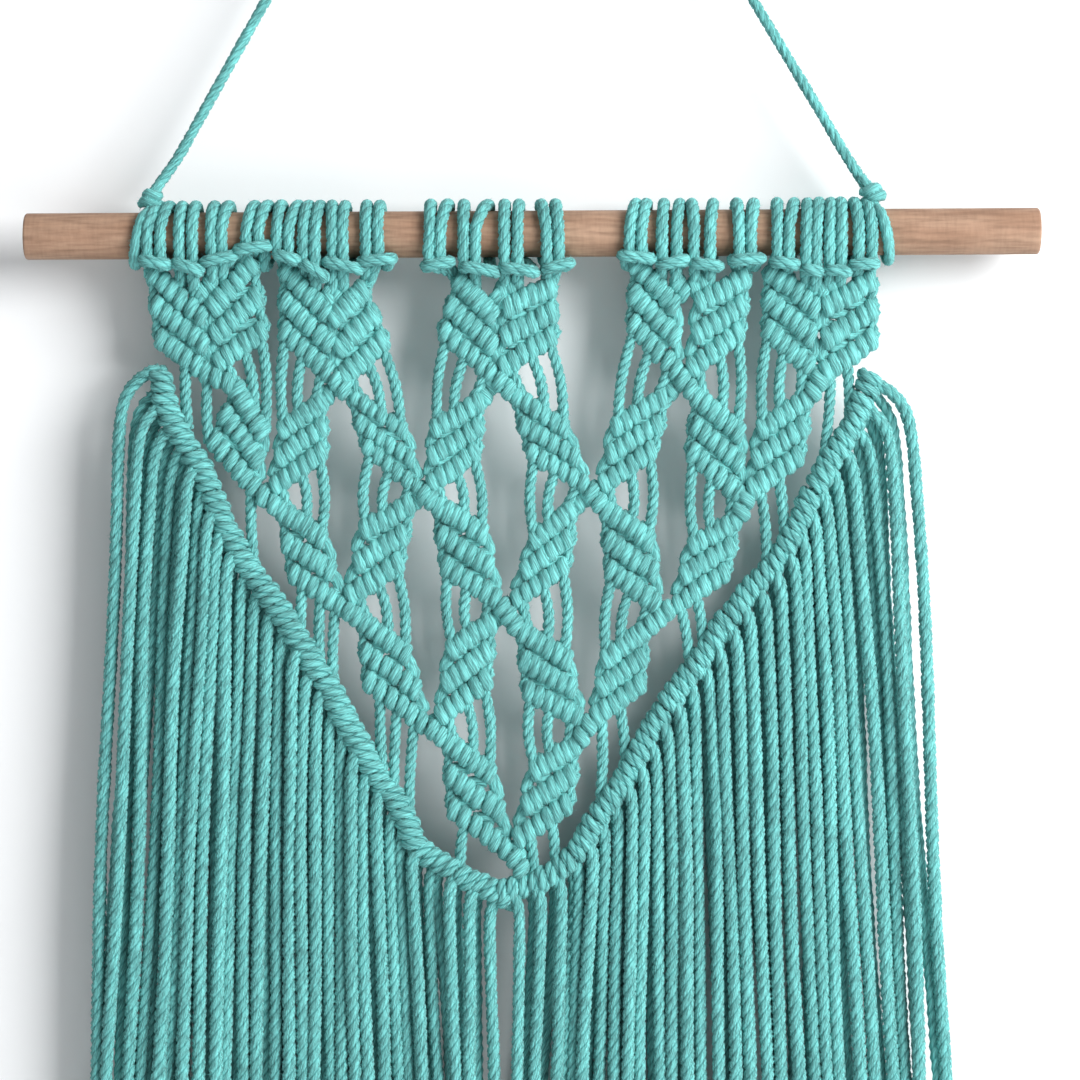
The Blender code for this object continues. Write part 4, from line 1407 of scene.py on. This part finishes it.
def new_group(name: str, inputs: dict[str, str], outputs: dict[str, str]) -> tuple[Graph, dict, dict]:
    """Starts a shader node group.

    Args:
        name: its name.
        inputs: socket types by name.
        outputs: socket types by name.

    Returns:
        Its graph, the sockets of its inputs by name, and the sockets that its outputs take, by name.
    """
    tree = bpy.data.node_groups.new(name, "ShaderNodeTree")
    for direction, sockets in (("INPUT", inputs), ("OUTPUT", outputs)):
        for label, kind in sockets.items():
            tree.interface.new_socket(label, in_out=direction, socket_type="NodeSocket" + kind)
    given = tree.nodes.new("NodeGroupInput").outputs
    taken = tree.nodes.new("NodeGroupOutput").inputs
    return Graph(tree), {label: given[label] for label in inputs}, {label: taken[label] for label in outputs}


def cord_group() -> bpy.types.NodeTree:
    """Colour and height of a plied, dyed cord.

    Creases between plies get painted shade: the crease colour where the crown value is low, and the dye
    on the crowns. Fibres are a noise drawn out along the cord: the turn round it becomes a point on a
    circle, so that no seam shows, and the run along it the third coordinate. A second, slower noise stands
    for uneven dye, and each strand has its own tone.

    Returns:
        The group.
    """
    graph, given, taken = new_group(
        "plied_cord",
        {
            "UV": "Vector", "Place": "Vector", "Crown": "Float", "Tone": "Float", "Crease": "Color",
            "Dye": "Color",
        },
        {"Colour": "Color", "Height": "Float"},
    )
    split = graph.add("ShaderNodeSeparateXYZ", None, Vector=given["UV"])
    turn = graph.math("MULTIPLY", split.outputs["X"], FULL_TURN)
    drawn = graph.math("MULTIPLY", split.outputs["Y"], 2.6)
    run = graph.math("ADD", drawn, graph.math("MULTIPLY", given["Tone"], 90))
    x = graph.math("MULTIPLY", graph.math("COSINE", turn), 4.4)
    y = graph.math("MULTIPLY", graph.math("SINE", turn), 4.4)
    around = graph.add("ShaderNodeCombineXYZ", None, X=x, Y=y, Z=run)
    fibre = graph.noise(around.outputs[0], 1.0, 3.0)
    dye = graph.noise(given["Place"], 70.0, 3.0)
    # Painted shade: the colour goes from the dark crease colour in the creases to the dye on the crowns.
    open_crown = graph.span(given["Crown"], 0.0, 0.5, 0.0, 1.0)
    base = graph.mix(open_crown, given["Crease"], given["Dye"])
    fibres, clouds = graph.span(fibre, 0.37, 0.63, 0.54, 1.27), graph.span(dye, 0.3, 0.7, 0.92, 1.08)
    shade = graph.math("MULTIPLY", fibres, clouds)
    light = graph.math("MULTIPLY", shade, graph.span(given["Tone"], 0.0, 1.0, 0.93, 1.05))
    graph.tree.links.new(graph.scale(base, light), taken["Colour"])
    height = graph.math("ADD", fibre, graph.math("MULTIPLY", open_crown, 0.6))
    graph.tree.links.new(height, taken["Height"])
    return graph.tree


def wood_group() -> bpy.types.NodeTree:
    """Colour, roughness and height of sawn wood: long streaks, broad darker bands and fine marks across.

    Returns:
        The group.
    """
    graph, given, taken = new_group(
        "sawn_wood",
        {"Place": "Vector", "Pale": "Color", "Dark": "Color", "Flush": "Color"},
        {"Colour": "Color", "Roughness": "Float", "Height": "Float"},
    )

    def stretched(x: float, y: float, z: float) -> bpy.types.NodeSocket:
        """Coordinates drawn out along the rod."""
        node = graph.add(
            "ShaderNodeVectorMath", {"operation": "MULTIPLY"}, input_0=given["Place"], input_1=(x, y, z)
        )
        return node.outputs[0]

    streak = graph.noise(stretched(70.0, 520.0, 650.0), 1.0, 8.0)
    band = graph.noise(stretched(34.0, 90.0, 170.0), 1.0, 4.0)
    saw = graph.noise(stretched(900.0, 60.0, 200.0), 1.0, 2.0)
    pale = graph.mix(graph.span(band, 0.35, 0.65, 0.0, 1.0), given["Pale"], given["Flush"])
    grain = graph.mix(graph.span(streak, 0.40, 0.72, 0.0, 0.72), pale, given["Dark"])
    graph.tree.links.new(graph.scale(grain, graph.span(saw, 0.3, 0.7, 0.93, 1.06)), taken["Colour"])
    graph.tree.links.new(graph.span(streak, 0.3, 0.7, 0.55, 0.8), taken["Roughness"])
    height = graph.math("ADD", graph.math("MULTIPLY", streak, -1.0), graph.math("MULTIPLY", saw, 0.25))
    graph.tree.links.new(height, taken["Height"])
    return graph.tree


@dataclass(frozen=True)
class Cotton:
    """Dyed cotton cord: matt, with painted shade in its creases and fine fibres that follow the lay."""

    name: str = "turquoise_cotton"
    # Painted shade: the dark colour of the creases between plies.
    crease: Colour = (0.025, 0.180, 0.180, 1.0)
    dye: Colour = (0.160, 0.505, 0.491, 1.0)
    roughness: float = 0.95
    specular: float = 0.15
    fuzz: float = 0.25
    fuzz_roughness: float = 0.6
    fuzz_tint: Colour = (0.55, 0.95, 0.92, 1.0)
    bump: float = 0.9
    bump_size: float = 0.0004

    def material(self, group: bpy.types.NodeTree) -> bpy.types.Material:
        """Makes the material.

        Args:
            group: the plied cord group.

        Returns:
            The material.
        """
        material, graph, shader = new_material(self.name)
        shader.inputs["Roughness"].default_value = self.roughness
        shader.inputs["Specular IOR Level"].default_value = self.specular
        shader.inputs["Sheen Weight"].default_value = self.fuzz
        shader.inputs["Sheen Roughness"].default_value = self.fuzz_roughness
        shader.inputs["Sheen Tint"].default_value = self.fuzz_tint
        crown = graph.add("ShaderNodeAttribute", {"attribute_name": "crown"})
        tone = graph.add("ShaderNodeAttribute", {"attribute_name": "tone"})
        laid = graph.add("ShaderNodeUVMap", {"uv_map": "cord"})
        place = graph.add("ShaderNodeTexCoord")
        cord = graph.add(
            "ShaderNodeGroup",
            {"node_tree": group},
            UV=laid.outputs[0],
            Place=place.outputs["Object"],
            Crown=crown.outputs["Fac"],
            Tone=tone.outputs["Fac"],
            Crease=self.crease,
            Dye=self.dye,
        )
        graph.relief(shader, cord, self.bump, self.bump_size)
        return material


@dataclass(frozen=True)
class Timber:
    """Pale brown sawn wood with its grain along the rod."""

    name: str = "sawn_wood_finish"
    pale: Colour = (0.425, 0.272, 0.184, 1.0)
    flush: Colour = (0.345, 0.202, 0.130, 1.0)
    dark: Colour = (0.205, 0.120, 0.080, 1.0)
    specular: float = 0.3
    bump: float = 0.35
    bump_size: float = 0.0004

    def material(self, group: bpy.types.NodeTree) -> bpy.types.Material:
        """Makes the material.

        Args:
            group: the sawn wood group.

        Returns:
            The material.
        """
        material, graph, shader = new_material(self.name)
        shader.inputs["Specular IOR Level"].default_value = self.specular
        place = graph.add("ShaderNodeTexCoord")
        wood = graph.add(
            "ShaderNodeGroup",
            {"node_tree": group},
            Place=place.outputs["Object"],
            Pale=self.pale,
            Dark=self.dark,
            Flush=self.flush,
        )
        graph.feed(shader.inputs["Roughness"], wood.outputs["Roughness"])
        graph.relief(shader, wood, self.bump, self.bump_size)
        return material


def camera() -> None:
    """A long lens straight on to the hanging, as far off as its frame needs."""
    distance, frame_width = 1.25, 0.3717
    aim = Vector((0.0127, -0.004, -0.3081))
    data = bpy.data.cameras.new("camera")
    data.sensor_width = 36.0
    data.lens = data.sensor_width * distance / frame_width
    made = bpy.data.objects.new("camera", data)
    made.location = (aim.x, aim.y - distance, aim.z)
    made.rotation_euler = (math.radians(90), 0, 0)
    bpy.context.scene.collection.objects.link(made)
    bpy.context.scene.camera = made


def lights() -> None:
    """A large soft key from the right and front, and a pale fill all round."""
    world = bpy.data.worlds.new("studio")
    world.use_nodes = True
    fill = world.node_tree.nodes["Background"]
    fill.inputs["Color"].default_value = (1, 1, 1, 1)
    fill.inputs["Strength"].default_value = 0.34
    bpy.context.scene.world = world
    place, aim = Vector((1.16, -1.20, 0.22)), Vector((0.0, 0.0, -0.35))
    data = bpy.data.lights.new("key", "AREA")
    data.size = 1.0
    data.energy = 41.0
    made = bpy.data.objects.new("key", data)
    made.location = place
    made.rotation_euler = (aim - place).to_track_quat("-Z", "Y").to_euler()
    bpy.context.scene.collection.objects.link(made)


ARMS = (
    FringeArm("left", LEFT_BAR, -144.0, -1.5, -1, "fringe_left", lone_gap=0.5, first_rise=(0.0, 1.6)),
    FringeArm("right", RIGHT_BAR, 156.0, 1.5, 1, "fringe_right", lone_gap=-2.5, first_rise=(0.0, -2.5)),
)
HANGERS = (
    Hanger(
        "hanger_left", "hanger_knot_left",
        knot=(-121.3, 12.2), low_x=-127.0, tail=(-125.4, 9.8), entry=(-118.3, 18.0),
    ),
    Hanger(
        "hanger_right", "hanger_knot_right",
        knot=(127.6, 14.0), low_x=133.0, tail=(122.8, 14.6), entry=(123.4, 19.8),
    ),
)


def main() -> None:
    """Builds the hanging piece by piece and reports each one."""
    logging.basicConfig(level=logging.INFO, format="%(message)s")
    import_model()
    camera()
    cotton, wood = Cotton().material(cord_group()), Timber().material(wood_group())
    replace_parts(HangingCord().build(cotton), "hanging_cord")
    dowel = Dowel()
    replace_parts(dowel.build(wood), "dowel")
    lattice = Lattice()
    for piece in lattice.build(cotton) + [LarksHeads().build(cotton, lattice, dowel)]:
        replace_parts(piece, "knotted_panel")
    for arm in ARMS:
        for piece in arm.build(cotton):
            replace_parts(piece, arm.node)
    for hanger in HANGERS:
        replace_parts(hanger.build(cotton, dowel), hanger.node)
    Stage().build()
    lights()
    bpy.context.scene.view_settings.view_transform = "Standard"


if __name__ == "__main__":
    main()
